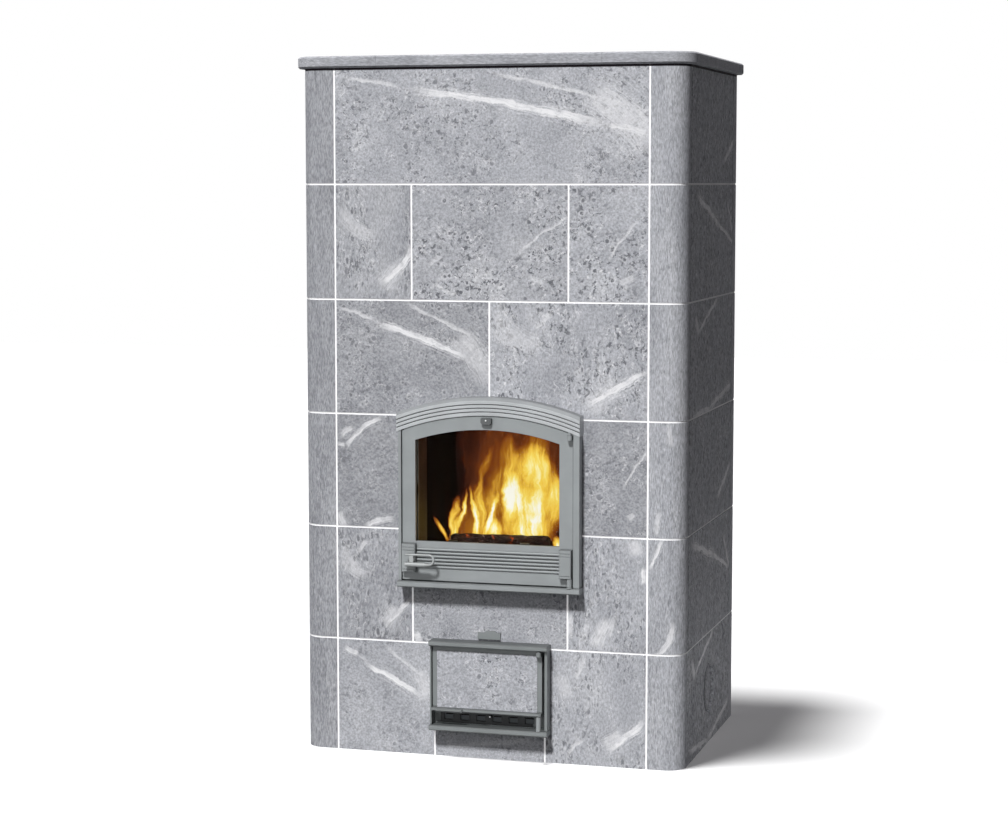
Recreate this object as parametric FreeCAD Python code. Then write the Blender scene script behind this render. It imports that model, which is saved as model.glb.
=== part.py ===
import FreeCAD, Part
import math
import os

# Soapstone stove, millimetres. Z is up, the doors face -Y, the origin is on the floor
# under the middle of the stone body.

# Stone body
body_w = 1030.0
body_d = 690.0
course_h = 300.0
course_count = 6
joint_w = 5.0
mortar_recess = 1.5
stone_t = 60.0
corner_w = 95.0
corner_r = 50.0
back_corner_r = 12.0

# Top slab
slab_t = 30.0
slab_overhang = 18.0
slab_edge = 4.0
slab_joint = 0.6
slab_pitch = 300.0

# Vertical joints of the front panels, from the middle
third_joint_x = 210.0
ash_joint_x = 150.0

# Soot hatches in the sides
hatch_r = 70.0
hatch_z = 150.0
plug_t = 40.0
plug_recess = 7.0
plug_chamfer = 2.0
slide_clear = 0.3

# Fire door frame, with arched top edges about one height
door_x = 1.5
arch_z = 251.0
sleeve_t = 6.0
flange_t = 5.0
fire_rail_gap = 1.6
latch_rail_w = 7.4
hinge_rail_w = 16.4
rail_p = 33.0
hood_lap = 2.5
hood_p = 42.0
hood_r_low = 657.0
hood_h = 46.5
hood_chamfer = 8.0
hood_reeds = 4
hood_groove_w = 3.0
hood_groove_t = 2.2
sill_z = 452.0
sill_h = 16.0
bar_chamfer = 3.0

# Fire door leaf
leaf_t = 18.0
leaf_p = 28.0
leaf_gap = 3.0
leaf_top_gap = 4.3
fire_leaf_w = 229.8
side_lap = 30.0
side_stile = 36.0
top_stile = 34.2
window_z = 573.5
rebate = 6.0
rebate_t = 8.0
glass_t = 4.0
glass_gasket_t = 2.0
glass_clear = 0.5
clip_w = 24.0
clip_lap = 9.0
clip_t = 2.0
rope_w = 10.0
rope_inset = 3.0
reed_count = 6
reed_pitch = 9.2
reed_r = 4.2
reed_rise = 3.0
reed_z = 502.0
reed_end_gap = 1.0

# Hinge of both doors
pin_r = 4.0
pin_clear = 0.05
pin_p = 36.0
pin_depth = 14.0
pin_edge = 7.0
knuckle_r = 6.5
lug_h = 12.0
washer_r = 7.5

# Blocks beside the reeded band, and the handle
hinge_block_w = 32.0
handle_block_w = 36.5
block_inset = 2.0
block_h = 75.0
block_z = 492.0
block_p = 43.0
block_edge = 2.0
block_grooves = (8.0, 58.0, 66.0)
block_groove_w = 1.2
block_groove_t = 0.8
spindle_in = 34.0
spindle_z = 528.5
spindle_r = 5.0
boss_r = 7.5
handle_p = 57.0
rod_r = 3.3
grip_r = 6.5
grip_drop = 25.4
handle_reach = 47.4
grip_tail = 16.0
grip_taper = 12.0
grip_tip = 4.0
handle_web_w = 11.0
handle_web_t = 5.0
tongue_l = 42.0
tongue_w = 9.0
tongue_t = 5.0
tongue_angle = 50.0
mortise_clear = 0.6

# Wash air knob in a T slot of the leaf
wash_down = 9.2
wash_travel = 6.0
wash_neck_w = 4.0
wash_neck_h = 6.0
wash_head_w = 8.0
wash_head_h = 10.0
wash_head_t = 4.0
wash_tab_w = 14.0
wash_tab_h = 16.0
wash_tab_t = 9.0
wash_tab_corner = 5.0

# Ash door
ash_open_bottom = 92.0
ash_open_top = 290.0
ash_lap = 3.5
ash_latch_gap = 1.8
ash_hinge_gap = 8.2
ash_latch_rail_w = 4.1
ash_hinge_rail_w = 7.2
ash_bar_lap = 1.0
ash_bar_p = 43.0
ash_sill_z = 75.5
ash_sill_h = 14.0
ash_hood_z = 299.5
ash_hood_h = 13.5
ash_leaf_w = 148.3
ash_leaf_z = 127.5
ash_top_gap = 2.0
ash_lip_h = 9.5
ash_lip_p = 42.0
ash_stile = 12.5
inlay_top = 287.0
inlay_t = 13.0
inlay_proud = 1.0
pull_in = 14.0
pull_w = 71.0
pull_p = 50.0
pull_chamfer = 4.0

# Air slots and shutter under the ash door
vent_count = 6
vent_w = 24.0
vent_h = 16.0
vent_pitch = 44.0
shutter_t = 3.0
shutter_travel = 17.0
guide_h = 3.0
shutter_knob_r = 3.0
shutter_knob_l = 8.0
shutter_knob_edge = 1.0
shutter_knob_down = 12.0

# Damper rod above the ash door
damper_z = 326.5
damper_rod_r = 5.0
damper_rod_l = 150.0
damper_stop_r = 12.0
damper_stop_t = 6.0
damper_plate_w = 61.5
damper_plate_h = 18.0
damper_plate_t = 4.0
damper_bump_x = 4.0
damper_bump_foot = 37.0
damper_bump_top = 22.0
damper_bump_h = 5.0

# Core
core_gap = 10.0
core_wall = 60.0
firebox_w = 220.0
firebox_back = 150.0
base_h = 131.0
hearth_z = 400.0
hearth_t = 60.0
lining_rise = 10.0
throat_t = 50.0
throat_slot_w = 300.0
throat_slot_d = 120.0
core_top = 1700.0
gas_gap = 100.0
cover_t = 50.0
grate_w = 200.0
grate_d = 250.0
grate_t = 24.0
grate_ledge = 13.0
grate_slots = 9
grate_slot_w = 9.0
grate_rim = 14.0
ash_box_w = 125.0
ash_box_gap = 45.0
ash_box_h = 105.0
ash_box_t = 2.0
bail_r = 4.0
bail_arm_r = 3.0
bail_w = 45.0
bail_out = 14.0
flue_r = 75.0
flue_t = 3.0
flue_z = 250.0
flue_out = 3.0

# Worked out from the sizes above
half_w = body_w / 2
half_d = body_d / 2
body_h = course_h * course_count
panel_edge = half_w - corner_w
half_joint = joint_w / 2
inner_w = half_w - stone_t
inner_d = half_d - stone_t
core_front = -inner_d + core_gap
core_back = firebox_back + core_wall
core_w = firebox_w + core_wall
hearth_top = hearth_z + hearth_t
sill_top = sill_z + sill_h
leaf_z = sill_top + leaf_gap
leaf_back_p = leaf_p - leaf_t
leaf_mid_p = leaf_p - leaf_t / 2
hood_r_top = hood_r_low + hood_h
fire_leaf_r = hood_r_low - leaf_top_gap
fire_leaf_l = door_x - fire_leaf_w
fire_leaf_rt = door_x + fire_leaf_w
latch_rail_x = fire_leaf_l - fire_rail_gap
hinge_rail_x = fire_leaf_rt + fire_rail_gap
fire_frame_x = (latch_rail_x - latch_rail_w + hinge_rail_x + hinge_rail_w) / 2
fire_frame_w = hinge_rail_x + hinge_rail_w - fire_frame_x
hood_w = fire_frame_w + hood_lap
window_w = fire_leaf_w - side_stile
window_r = fire_leaf_r - top_stile
rope_lap = rope_inset + rope_w
fire_open_w = fire_leaf_w - side_lap
fire_open_bottom = leaf_z + rope_lap
fire_open_r = fire_leaf_r - rope_lap
lining_top = arch_z + fire_open_r + lining_rise
fire_pin_x = fire_leaf_rt - pin_edge
hinge_block_x = fire_leaf_rt - block_inset - hinge_block_w
handle_block_x = fire_leaf_l + block_inset
spindle_x = fire_leaf_l + spindle_in
wash_z = arch_z + fire_leaf_r - wash_down
ash_leaf_l = door_x - ash_leaf_w
ash_leaf_rt = door_x + ash_leaf_w
ash_latch_rail_x = ash_leaf_l - ash_latch_gap
ash_hinge_rail_x = ash_leaf_rt + ash_hinge_gap
ash_frame_x = (ash_latch_rail_x - ash_latch_rail_w + ash_hinge_rail_x + ash_hinge_rail_w) / 2
ash_frame_w = ash_hinge_rail_x + ash_hinge_rail_w - ash_frame_x
ash_bar_w = ash_frame_w + ash_bar_lap
ash_open_w = ash_leaf_w - ash_lap
inlay_w = ash_leaf_w - ash_stile
ash_pin_x = ash_leaf_rt - pin_edge
ash_sill_top = ash_sill_z + ash_sill_h
ash_leaf_top = ash_hood_z - ash_top_gap
ash_lip_top = ash_leaf_z + ash_lip_h


def front(p):
    """Y of a point that stands p mm out of the stone front."""
    return -half_d - p


def box(x0, x1, y0, y1, z0, z1):
    corner = FreeCAD.Vector(min(x0, x1), min(y0, y1), min(z0, z1))
    return Part.makeBox(abs(x1 - x0), abs(y1 - y0), abs(z1 - z0), corner)


def front_box(x0, x1, p0, p1, z0, z1):
    return box(x0, x1, front(p0), front(p1), z0, z1)


def rod(x, y, z, r, length, direction):
    return Part.makeCylinder(r, length, FreeCAD.Vector(x, y, z), FreeCAD.Vector(*direction))


def front_rod(x, z, r, p0, p1):
    """Round bar square to the front, from p0 out to p1."""
    return rod(x, front(p0), z, r, p1 - p0, (0, -1, 0))


def fuse(shapes):
    solid = shapes[0]
    if len(shapes) > 1:
        solid = shapes[0].fuse(shapes[1:])
    return solid.removeSplitter()


def export(node, shapes):
    if not isinstance(shapes, list):
        shapes = [shapes]
    solids = [solid for shape in shapes for solid in shape.Solids]
    shape = solids[0] if len(solids) == 1 else Part.makeCompound(solids)
    shape.exportStep("parts/" + node + ".step")


def arch_top(radius, half_width):
    return arch_z + math.sqrt(radius ** 2 - half_width ** 2)


def arch(half_width, bottom, radius, p0, p1, mid=door_x):
    """Upright plate with a flat foot and an arched top about mid, from p0 out to p1."""
    y = front(p0)
    side = arch_top(radius, half_width)
    foot_l = FreeCAD.Vector(mid - half_width, y, bottom)
    foot_r = FreeCAD.Vector(mid + half_width, y, bottom)
    top_r = FreeCAD.Vector(mid + half_width, y, side)
    top_l = FreeCAD.Vector(mid - half_width, y, side)
    apex = FreeCAD.Vector(mid, y, arch_z + radius)
    edges = [Part.LineSegment(foot_l, foot_r).toShape()]
    edges.append(Part.LineSegment(foot_r, top_r).toShape())
    edges.append(Part.Arc(top_r, apex, top_l).toShape())
    edges.append(Part.LineSegment(top_l, foot_l).toShape())
    return Part.Face(Part.Wire(edges)).extrude(FreeCAD.Vector(0, p0 - p1, 0))


def upright_edges(shape, x, y):
    found = []
    for edge in shape.Edges:
        ends = edge.BoundBox
        upright = ends.ZLength > ends.XLength + ends.YLength
        if upright and abs(ends.XMin - x) < 0.01 and abs(ends.YMin - y) < 0.01:
            found.append(edge)
    return found


def plan_block(half_x, half_y, r_front, r_back, z0, z1):
    """Block on the stove's plan with rounded front and back corners."""
    block = box(-half_x, half_x, -half_y, half_y, z0, z1)
    for y, r in ((-half_y, r_front), (half_y, r_back)):
        corners = upright_edges(block, -half_x, y) + upright_edges(block, half_x, y)
        block = block.makeFillet(r, corners)
    return block


def course_span(course):
    """Lower and upper edge of the stones of a course, counted from the top."""
    row = course_count - course
    low = 0.0 if row == 0 else row * course_h + half_joint
    high = body_h if course == 1 else (row + 1) * course_h - half_joint
    return low, high


def front_panel(course, x0, x1):
    low, high = course_span(course)
    return box(x0, x1, -half_d, -inner_d, low, high)


def fire_hole():
    return arch(fire_open_w, fire_open_bottom, fire_open_r, -stone_t - 1, 1)


def ash_hole():
    return front_box(door_x - ash_open_w, door_x + ash_open_w, -stone_t - 1, 1, ash_open_bottom, ash_open_top)


def damper_hole():
    return front_rod(0, damper_z, damper_rod_r + slide_clear, -stone_t - 1, 1)


def front_panels():
    edge = panel_edge - half_joint
    third_in = third_joint_x - half_joint
    third_out = third_joint_x + half_joint
    ash_in = ash_joint_x - half_joint
    ash_out = ash_joint_x + half_joint
    middle_low = course_span(5)[0]
    panels = {"course_1_front": front_panel(1, -edge, edge)}
    panels["course_2_front_middle"] = front_panel(2, -third_in, third_in)
    panels["course_5_front_middle"] = box(-third_in, third_in, -half_d, -inner_d, middle_low, fire_open_bottom)
    panels["course_6_front_middle"] = box(-ash_in, ash_in, -half_d, -inner_d, 0, ash_open_bottom)
    inner_edges = {2: (-third_out, third_out), 3: (-half_joint, half_joint), 5: (-third_out, third_out)}
    inner_edges[4] = (door_x - fire_open_w, door_x + fire_open_w)
    inner_edges[6] = (-ash_out, ash_out)
    for course, (left, right) in inner_edges.items():
        panels["course_%d_front_left" % course] = front_panel(course, -edge, left)
        panels["course_%d_front_right" % course] = front_panel(course, right, edge)
    holes = [fire_hole(), ash_hole(), damper_hole()]
    return {name: panel.cut(holes) for name, panel in panels.items()}


def corner_stones(side_x, side_y):
    """One stone a course, with its outer upright edge rounded."""
    radius = corner_r if side_y < 0 else back_corner_r
    stones = []
    for course in range(1, course_count + 1):
        low, high = course_span(course)
        inner_x = side_x * (panel_edge + half_joint)
        inner_y = side_y * (inner_d + half_joint)
        stone = box(inner_x, side_x * half_w, inner_y, side_y * half_d, low, high)
        outer = upright_edges(stone, side_x * half_w, side_y * half_d)
        stones.append(stone.makeFillet(radius, outer))
    return stones


def hatch_hole(side, r, x0, x1):
    return rod(side * x0, 0, hatch_z, r, x1 - x0, (side, 0, 0))


def side_panels(side):
    panels = []
    edge = inner_d - half_joint
    for course in range(1, course_count + 1):
        low, high = course_span(course)
        panels.append(box(side * inner_w, side * half_w, -edge, edge, low, high))
    panels[-1] = panels[-1].cut(hatch_hole(side, hatch_r, inner_w - 1, half_w + 1))
    return panels


def soot_plug(side):
    outer = half_w - plug_recess
    plug = hatch_hole(side, hatch_r - slide_clear, outer - plug_t, outer)
    rims = [e for e in plug.Edges if abs(e.CenterOfMass.x - side * outer) < 0.01]
    return plug.makeChamfer(plug_chamfer, rims)


def back_panels():
    panels = []
    edge = panel_edge - half_joint
    for course in range(1, course_count + 1):
        low, high = course_span(course)
        panels.append(box(-edge, edge, inner_d, half_d, low, high))
    hole = rod(0, inner_d - 1, flue_z, flue_r + flue_t, stone_t + 2, (0, 1, 0))
    return [panel.cut(hole) for panel in panels]


def mortar(stones):
    """Filling of all joints between the stones, set back from their faces."""
    shrink = mortar_recess
    outer = plan_block(half_w - shrink, half_d - shrink, corner_r - shrink, back_corner_r - shrink, 0, body_h)
    shell = outer.cut(box(-inner_w, inner_w, -inner_d, inner_d, 0, body_h))
    voids = [fire_hole(), ash_hole(), damper_hole()]
    voids.append(rod(0, inner_d - 1, flue_z, flue_r + flue_t, stone_t + 2, (0, 1, 0)))
    for side in (-1, 1):
        voids.append(hatch_hole(side, hatch_r, inner_w - 1, half_w + 1))
    return shell.cut(stones + voids)


def top_slabs():
    """One eased slab sawn across into equal pieces."""
    half_x = half_w + slab_overhang
    half_y = half_d + slab_overhang
    r_front = corner_r + slab_overhang
    r_back = back_corner_r + slab_overhang
    slab = plan_block(half_x, half_y, r_front, r_back, body_h, body_h + slab_t)
    rims = [e for e in slab.Edges if e.BoundBox.ZLength < 0.01]
    slab = slab.makeChamfer(slab_edge, rims)
    for x in (-slab_pitch, 0, slab_pitch):
        slab = slab.cut(box(x - slab_joint / 2, x + slab_joint / 2, -half_y, half_y, body_h, body_h + slab_t))
    return slab


def keeper():
    """Slot in the latch rail, tall enough for the tongue's tip to swing into it."""
    reach = spindle_x - latch_rail_x
    tip_r = math.hypot(tongue_l, tongue_w / 2)
    drop = math.sqrt(tip_r ** 2 - reach ** 2) + 2 * mortise_clear
    rise = tongue_w / 2 + 2 * mortise_clear
    half = tongue_t / 2 + 2 * mortise_clear
    return front_box(latch_rail_x - latch_rail_w - 1, latch_rail_x + 1, leaf_mid_p - half, leaf_mid_p + half,
                     spindle_z - drop, spindle_z + rise)


def fire_frame():
    """Flange on the stone, side rails, and a sleeve through the stone to the core."""
    sleeve_p = -stone_t - core_gap
    hole = (fire_open_w - sleeve_t, fire_open_bottom + sleeve_t, fire_open_r - sleeve_t)
    flange = arch(fire_frame_w, sill_top, hood_r_low, 0, flange_t, fire_frame_x)
    sleeve = arch(fire_open_w, fire_open_bottom, fire_open_r, sleeve_p, 0)
    rail_top = arch_z + hood_r_low
    rails = [front_box(latch_rail_x - latch_rail_w, latch_rail_x, 0, rail_p, sill_top, rail_top)]
    rails.append(front_box(hinge_rail_x, hinge_rail_x + hinge_rail_w, 0, rail_p, sill_top, rail_top))
    under_hood = rod(fire_frame_x, front(-1), arch_z, hood_r_low, hood_p + 1, (0, -1, 0))
    rails = [rail.common(under_hood) for rail in rails]
    frame = fuse([flange, sleeve] + rails)
    return frame.cut([arch(*hole, sleeve_p - 1, flange_t + 1), keeper()])


def pin_hole(x, z0, z1, r):
    return rod(x, front(pin_p), z0, r, z1 - z0, (0, 0, 1))


def hood_edge_z():
    """Height of the hood's lower edge over the outer side of the hinge pin."""
    return arch_top(hood_r_low, abs(fire_pin_x - fire_frame_x) + pin_r)


def fire_hood():
    """Arched hood, turned about the arch centre from a profile with V grooves."""
    reed_h = (hood_h - hood_chamfer) / hood_reeds
    low = arch_z + hood_r_low
    top = low + hood_h
    outline = [(0, low), (hood_p, low)]
    for reed in range(1, hood_reeds):
        groove = low + reed * reed_h
        outline.append((hood_p, groove - hood_groove_w / 2))
        outline.append((hood_p - hood_groove_t, groove))
        outline.append((hood_p, groove + hood_groove_w / 2))
    outline = outline + [(hood_p, top - hood_chamfer), (hood_p - hood_chamfer, top), (0, top), (0, low)]
    wire = Part.makePolygon([FreeCAD.Vector(fire_frame_x, front(p), z) for p, z in outline])
    profile = Part.Face(wire)
    centre = FreeCAD.Vector(fire_frame_x, 0, arch_z)
    swing = math.degrees(math.asin(hood_w / hood_r_low)) + 1
    profile.rotate(centre, FreeCAD.Vector(0, 1, 0), -swing)
    ring = profile.revolve(centre, FreeCAD.Vector(0, 1, 0), 2 * swing)
    hood = ring.common(front_box(fire_frame_x - hood_w, fire_frame_x + hood_w, 0, hood_p, sill_top, top))
    return hood.cut(pin_hole(fire_pin_x, hood_edge_z() - pin_depth, hood_edge_z() + pin_depth, pin_r))


def bar(mid, half_width, p, z0, z1):
    """Cross bar about mid with its long front edges chamfered."""
    solid = front_box(mid - half_width, mid + half_width, 0, p, z0, z1)
    fronts = []
    for edge in solid.Edges:
        if abs(edge.CenterOfMass.y - front(p)) < 0.01 and edge.BoundBox.XLength > half_width:
            fronts.append(edge)
    return solid.makeChamfer(bar_chamfer, fronts)


def fire_sill():
    sill = bar(fire_frame_x, hood_w, hood_p, sill_z, sill_top)
    return sill.cut(pin_hole(fire_pin_x, sill_top - pin_depth, sill_top + 1, pin_r))


def wash_slot():
    """T slot at the top of the leaf, open behind, for the wash air tab."""
    neck = wash_neck_w + wash_travel + slide_clear
    head = wash_head_w + wash_travel + slide_clear
    neck_h = wash_neck_h / 2 + slide_clear
    head_h = wash_head_h / 2 + slide_clear
    shoulder = leaf_p - wash_head_t
    mouth = front_box(door_x - neck, door_x + neck, shoulder - 1, leaf_p + 1, wash_z - neck_h, wash_z + neck_h)
    pocket = front_box(door_x - head, door_x + head, leaf_back_p - 1, shoulder, wash_z - head_h, wash_z + head_h)
    return mouth.fuse(pocket)


def mortise():
    """Pocket in the stile edge in which the latch tongue turns."""
    half = tongue_t / 2 + mortise_clear
    side = tongue_w / 2 + mortise_clear
    low = spindle_z - tongue_l - mortise_clear
    return front_box(fire_leaf_l - 1, spindle_x + spindle_r + side, leaf_mid_p - half, leaf_mid_p + half,
                     low, spindle_z + side + mortise_clear)


def fire_leaf():
    """Arched cast leaf with a window, a glass rebate behind it and a reeded band below."""
    leaf = arch(fire_leaf_w, leaf_z, fire_leaf_r, leaf_back_p, leaf_p)
    reed_x = handle_block_x + handle_block_w + reed_end_gap
    reed_l = hinge_block_x - reed_end_gap - reed_x
    for reed in range(reed_count):
        z = reed_z + (reed + 0.5) * reed_pitch
        leaf = leaf.fuse(rod(reed_x, front(leaf_p - reed_r + reed_rise), z, reed_r, reed_l, (1, 0, 0)))
    leaf = leaf.cut(arch(window_w, window_z, window_r, leaf_back_p - 1, leaf_p + 1))
    leaf = leaf.cut(arch(window_w + rebate, window_z - rebate, window_r + rebate,
                         leaf_back_p - 1, leaf_back_p + rebate_t))
    lug_top = arch_top(fire_leaf_r, fire_leaf_w - pin_edge + knuckle_r)
    lug = pin_hole(fire_pin_x, lug_top - lug_h, lug_top, knuckle_r)
    web = front_box(fire_pin_x - knuckle_r, fire_pin_x + knuckle_r, leaf_p, pin_p, lug_top - lug_h, lug_top)
    leaf = leaf.fuse([lug, web])
    leaf = leaf.cut(pin_hole(fire_pin_x, lug_top - lug_h, lug_top + 1, pin_r + pin_clear))
    leaf = leaf.cut(front_rod(spindle_x, spindle_z, spindle_r + pin_clear, leaf_mid_p, leaf_p + 1))
    return leaf.cut([mortise(), wash_slot()]).removeSplitter()


def window_ring(outer, inner, p0, p1):
    """Flat ring that follows the window, offset out to outer and in to inner."""
    ring = arch(window_w + outer, window_z - outer, window_r + outer, p0, p1)
    return ring.cut(arch(window_w + inner, window_z - inner, window_r + inner, p0 - 1, p1 + 1))


def window_glass():
    near = leaf_back_p + rebate_t - glass_gasket_t
    grow = rebate - glass_clear
    return arch(window_w + grow, window_z - grow, window_r + grow, near - glass_t, near)


def glass_gasket():
    far = leaf_back_p + rebate_t
    return window_ring(rebate - glass_clear, 0, far - glass_gasket_t, far)


def glass_clips():
    """Stepped clips at the foot and sides that hold the glass from behind."""
    glass_back = leaf_back_p + rebate_t - glass_gasket_t - glass_t
    inner = window_w + rebate
    mid_z = (window_z + arch_top(window_r, window_w)) / 2
    clips = []
    for side in (-1, 1):
        edge = door_x + side * inner
        plate = front_box(edge, edge + side * clip_lap, leaf_back_p - clip_t, leaf_back_p,
                          mid_z - clip_w / 2, mid_z + clip_w / 2)
        tongue = front_box(edge - side * clip_lap, edge, leaf_back_p - clip_t, glass_back,
                           mid_z - clip_w / 2, mid_z + clip_w / 2)
        clips.append(fuse([plate, tongue]))
        x = door_x + side * window_w / 2
        foot = window_z - rebate
        plate = front_box(x - clip_w / 2, x + clip_w / 2, leaf_back_p - clip_t, leaf_back_p, foot - clip_lap, foot)
        tongue = front_box(x - clip_w / 2, x + clip_w / 2, leaf_back_p - clip_t, glass_back, foot, foot + clip_lap)
        clips.append(fuse([plate, tongue]))
    return clips


def door_rope():
    """Rope seal round the back of the leaf, against the frame's flange."""
    out_w = fire_leaf_w - rope_inset
    out_z = leaf_z + rope_inset
    out_r = fire_leaf_r - rope_inset
    near = flange_t + slide_clear
    rope = arch(out_w, out_z, out_r, near, leaf_back_p)
    hole = arch(out_w - rope_w, out_z + rope_w, out_r - rope_w, near - 1, leaf_back_p + 1)
    return rope.cut(hole)


def ease_front(solid, p, size):
    """Chamfer round the face that stands p mm out."""
    rims = [e for e in solid.Edges if abs(e.CenterOfMass.y - front(p)) < 0.01]
    return solid.makeChamfer(size, rims)


def door_block(x, width):
    """Raised block on the leaf with fine cross grooves."""
    top = block_z + block_h
    block = ease_front(front_box(x, x + width, leaf_p, block_p, block_z, top), block_p, block_edge)
    for rise in block_grooves:
        z = block_z + rise
        block = block.cut(front_box(x - 1, x + width + 1, block_p - block_groove_t, block_p + 1,
                                    z - block_groove_w / 2, z + block_groove_w / 2))
    return block


def hinge_block():
    """Bare block low on the right that holds the lower hinge pin."""
    block = door_block(hinge_block_x, hinge_block_w)
    barrel = pin_hole(fire_pin_x, leaf_z, block_z, knuckle_r)
    web = front_box(fire_pin_x - knuckle_r, fire_pin_x + knuckle_r, leaf_p, pin_p, leaf_z, block_z)
    hole = pin_hole(fire_pin_x, leaf_z - 1, block_z + pin_depth, pin_r + pin_clear)
    return fuse([block, barrel, web]).cut(hole)


def handle_block():
    block = door_block(handle_block_x, handle_block_w)
    return block.cut(front_rod(spindle_x, spindle_z, spindle_r + pin_clear, leaf_p - 1, block_p + 1))


def fire_pins():
    """Upper and lower hinge pin with a washer that carries the leaf."""
    lug_low = arch_top(fire_leaf_r, fire_leaf_w - pin_edge + knuckle_r) - lug_h
    lower = pin_hole(fire_pin_x, sill_top - pin_depth, block_z + pin_depth - 1, pin_r)
    washer = pin_hole(fire_pin_x, sill_top, leaf_z - slide_clear, washer_r)
    upper = pin_hole(fire_pin_x, lug_low, hood_edge_z() + pin_depth, pin_r)
    return [fuse([lower, washer]), upper]


def fire_handle():
    """Rod that turns back in a U to a thick grip, held between them by a web on the boss."""
    y = front(handle_p)
    turn_r = grip_drop / 2
    turn_x = spindle_x + handle_reach
    rod_x = spindle_x - grip_tail
    rod_z = spindle_z + turn_r
    grip_z = spindle_z - turn_r
    back = FreeCAD.Vector(-1, 0, 0)
    upper = rod(rod_x, y, rod_z, rod_r, turn_x - rod_x, (1, 0, 0))
    turn = Part.makeTorus(turn_r, rod_r, FreeCAD.Vector(turn_x, y, spindle_z), FreeCAD.Vector(0, 1, 0))
    right_half = box(turn_x, turn_x + 2 * turn_r, y - grip_r, y + grip_r, grip_z - grip_r, rod_z + grip_r)
    taper = Part.makeCone(rod_r, grip_r, grip_taper, FreeCAD.Vector(turn_x, y, grip_z), back)
    grip = rod(rod_x, y, grip_z, grip_r, turn_x - grip_taper - rod_x, (1, 0, 0))
    tip = Part.makeCone(grip_r, rod_r, grip_tip, FreeCAD.Vector(rod_x, y, grip_z), back)
    boss = front_rod(spindle_x, spindle_z, boss_r, block_p + slide_clear, handle_p)
    web = front_box(spindle_x - handle_web_w / 2, spindle_x + handle_web_w / 2,
                    handle_p - handle_web_t / 2, handle_p + handle_web_t / 2, grip_z, rod_z)
    return fuse([boss, web, upper, turn.common(right_half), taper, grip, tip])


def latch_tongue():
    """Spindle through block and leaf with the flat tongue on its inner end."""
    spindle = front_rod(spindle_x, spindle_z, spindle_r, leaf_mid_p - tongue_t / 2, block_p + slide_clear)
    tongue = front_box(spindle_x - tongue_l, spindle_x, leaf_mid_p - tongue_t / 2, leaf_mid_p + tongue_t / 2,
                       spindle_z - tongue_w / 2, spindle_z + tongue_w / 2)
    pivot = FreeCAD.Vector(spindle_x, 0, spindle_z)
    tongue.rotate(pivot, FreeCAD.Vector(0, 1, 0), -tongue_angle)
    return fuse([spindle, tongue])


def wash_tab():
    """Tab with clipped lower corners on a T shoe that slides in the leaf."""
    shoulder = leaf_p - wash_head_t
    tab_p = leaf_p + slide_clear
    tab_top = wash_z + wash_head_h / 2 + slide_clear
    neck = front_box(door_x - wash_neck_w, door_x + wash_neck_w, shoulder - slide_clear, tab_p,
                     wash_z - wash_neck_h / 2, wash_z + wash_neck_h / 2)
    head = front_box(door_x - wash_head_w, door_x + wash_head_w, shoulder - slide_clear - wash_head_t,
                     shoulder - slide_clear, wash_z - wash_head_h / 2, wash_z + wash_head_h / 2)
    tab = front_box(door_x - wash_tab_w, door_x + wash_tab_w, tab_p, tab_p + wash_tab_t,
                    tab_top - wash_tab_h, tab_top)
    low = [e for e in tab.Edges if e.BoundBox.YLength > wash_tab_t / 2 and e.CenterOfMass.z < wash_z]
    return fuse([tab.makeChamfer(wash_tab_corner, low), neck, head])


def vents(p0, p1):
    """Row of air slots below the ash door."""
    z = (ash_sill_top + ash_leaf_z) / 2
    first = door_x - (vent_count - 1) * vent_pitch / 2
    slots = []
    for vent in range(vent_count):
        x = first + vent * vent_pitch
        slots.append(front_box(x - vent_w / 2, x + vent_w / 2, p0, p1, z - vent_h / 2, z + vent_h / 2))
    return slots


def ash_frame():
    """Flange with air slots, side rails, shutter guides and a sleeve through the stone."""
    flange_x = (ash_frame_x - ash_frame_w, ash_frame_x + ash_frame_w)
    bore_x = (door_x - ash_open_w + sleeve_t, door_x + ash_open_w - sleeve_t)
    flange = front_box(*flange_x, 0, flange_t, ash_sill_top, ash_hood_z)
    sleeve = front_box(door_x - ash_open_w, door_x + ash_open_w, -stone_t, 0, ash_open_bottom, ash_open_top)
    bore = front_box(*bore_x, -stone_t - 1, 0, ash_open_bottom + sleeve_t, ash_open_top - sleeve_t)
    door_hole = front_box(*bore_x, -1, flange_t + 1, ash_leaf_z + guide_h, ash_open_top - sleeve_t)
    rails = [front_box(flange_x[0], ash_latch_rail_x, 0, rail_p, ash_sill_top, ash_hood_z)]
    rails.append(front_box(ash_hinge_rail_x, flange_x[1], 0, rail_p, ash_sill_top, ash_hood_z))
    guide_x = (ash_latch_rail_x, ash_hinge_rail_x)
    guide_p = flange_t + shutter_t + 2 * slide_clear
    guides = [front_box(*guide_x, flange_t, guide_p, ash_sill_top, ash_sill_top + guide_h)]
    guides.append(front_box(*guide_x, flange_t, guide_p, ash_leaf_z - guide_h, ash_leaf_z))
    frame = fuse([flange, sleeve] + rails + guides)
    return frame.cut([bore, door_hole] + vents(-1, flange_t + 1))


def ash_bars():
    hood = bar(ash_frame_x, ash_bar_w, ash_bar_p, ash_hood_z, ash_hood_z + ash_hood_h)
    sill = bar(ash_frame_x, ash_bar_w, ash_bar_p, ash_sill_z, ash_sill_top)
    hood = hood.cut(pin_hole(ash_pin_x, ash_hood_z - 1, ash_hood_z + ash_hood_h / 2, pin_r))
    sill = sill.cut(pin_hole(ash_pin_x, ash_sill_top - pin_depth / 2, ash_sill_top + 1, pin_r))
    return [hood, sill]


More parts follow.
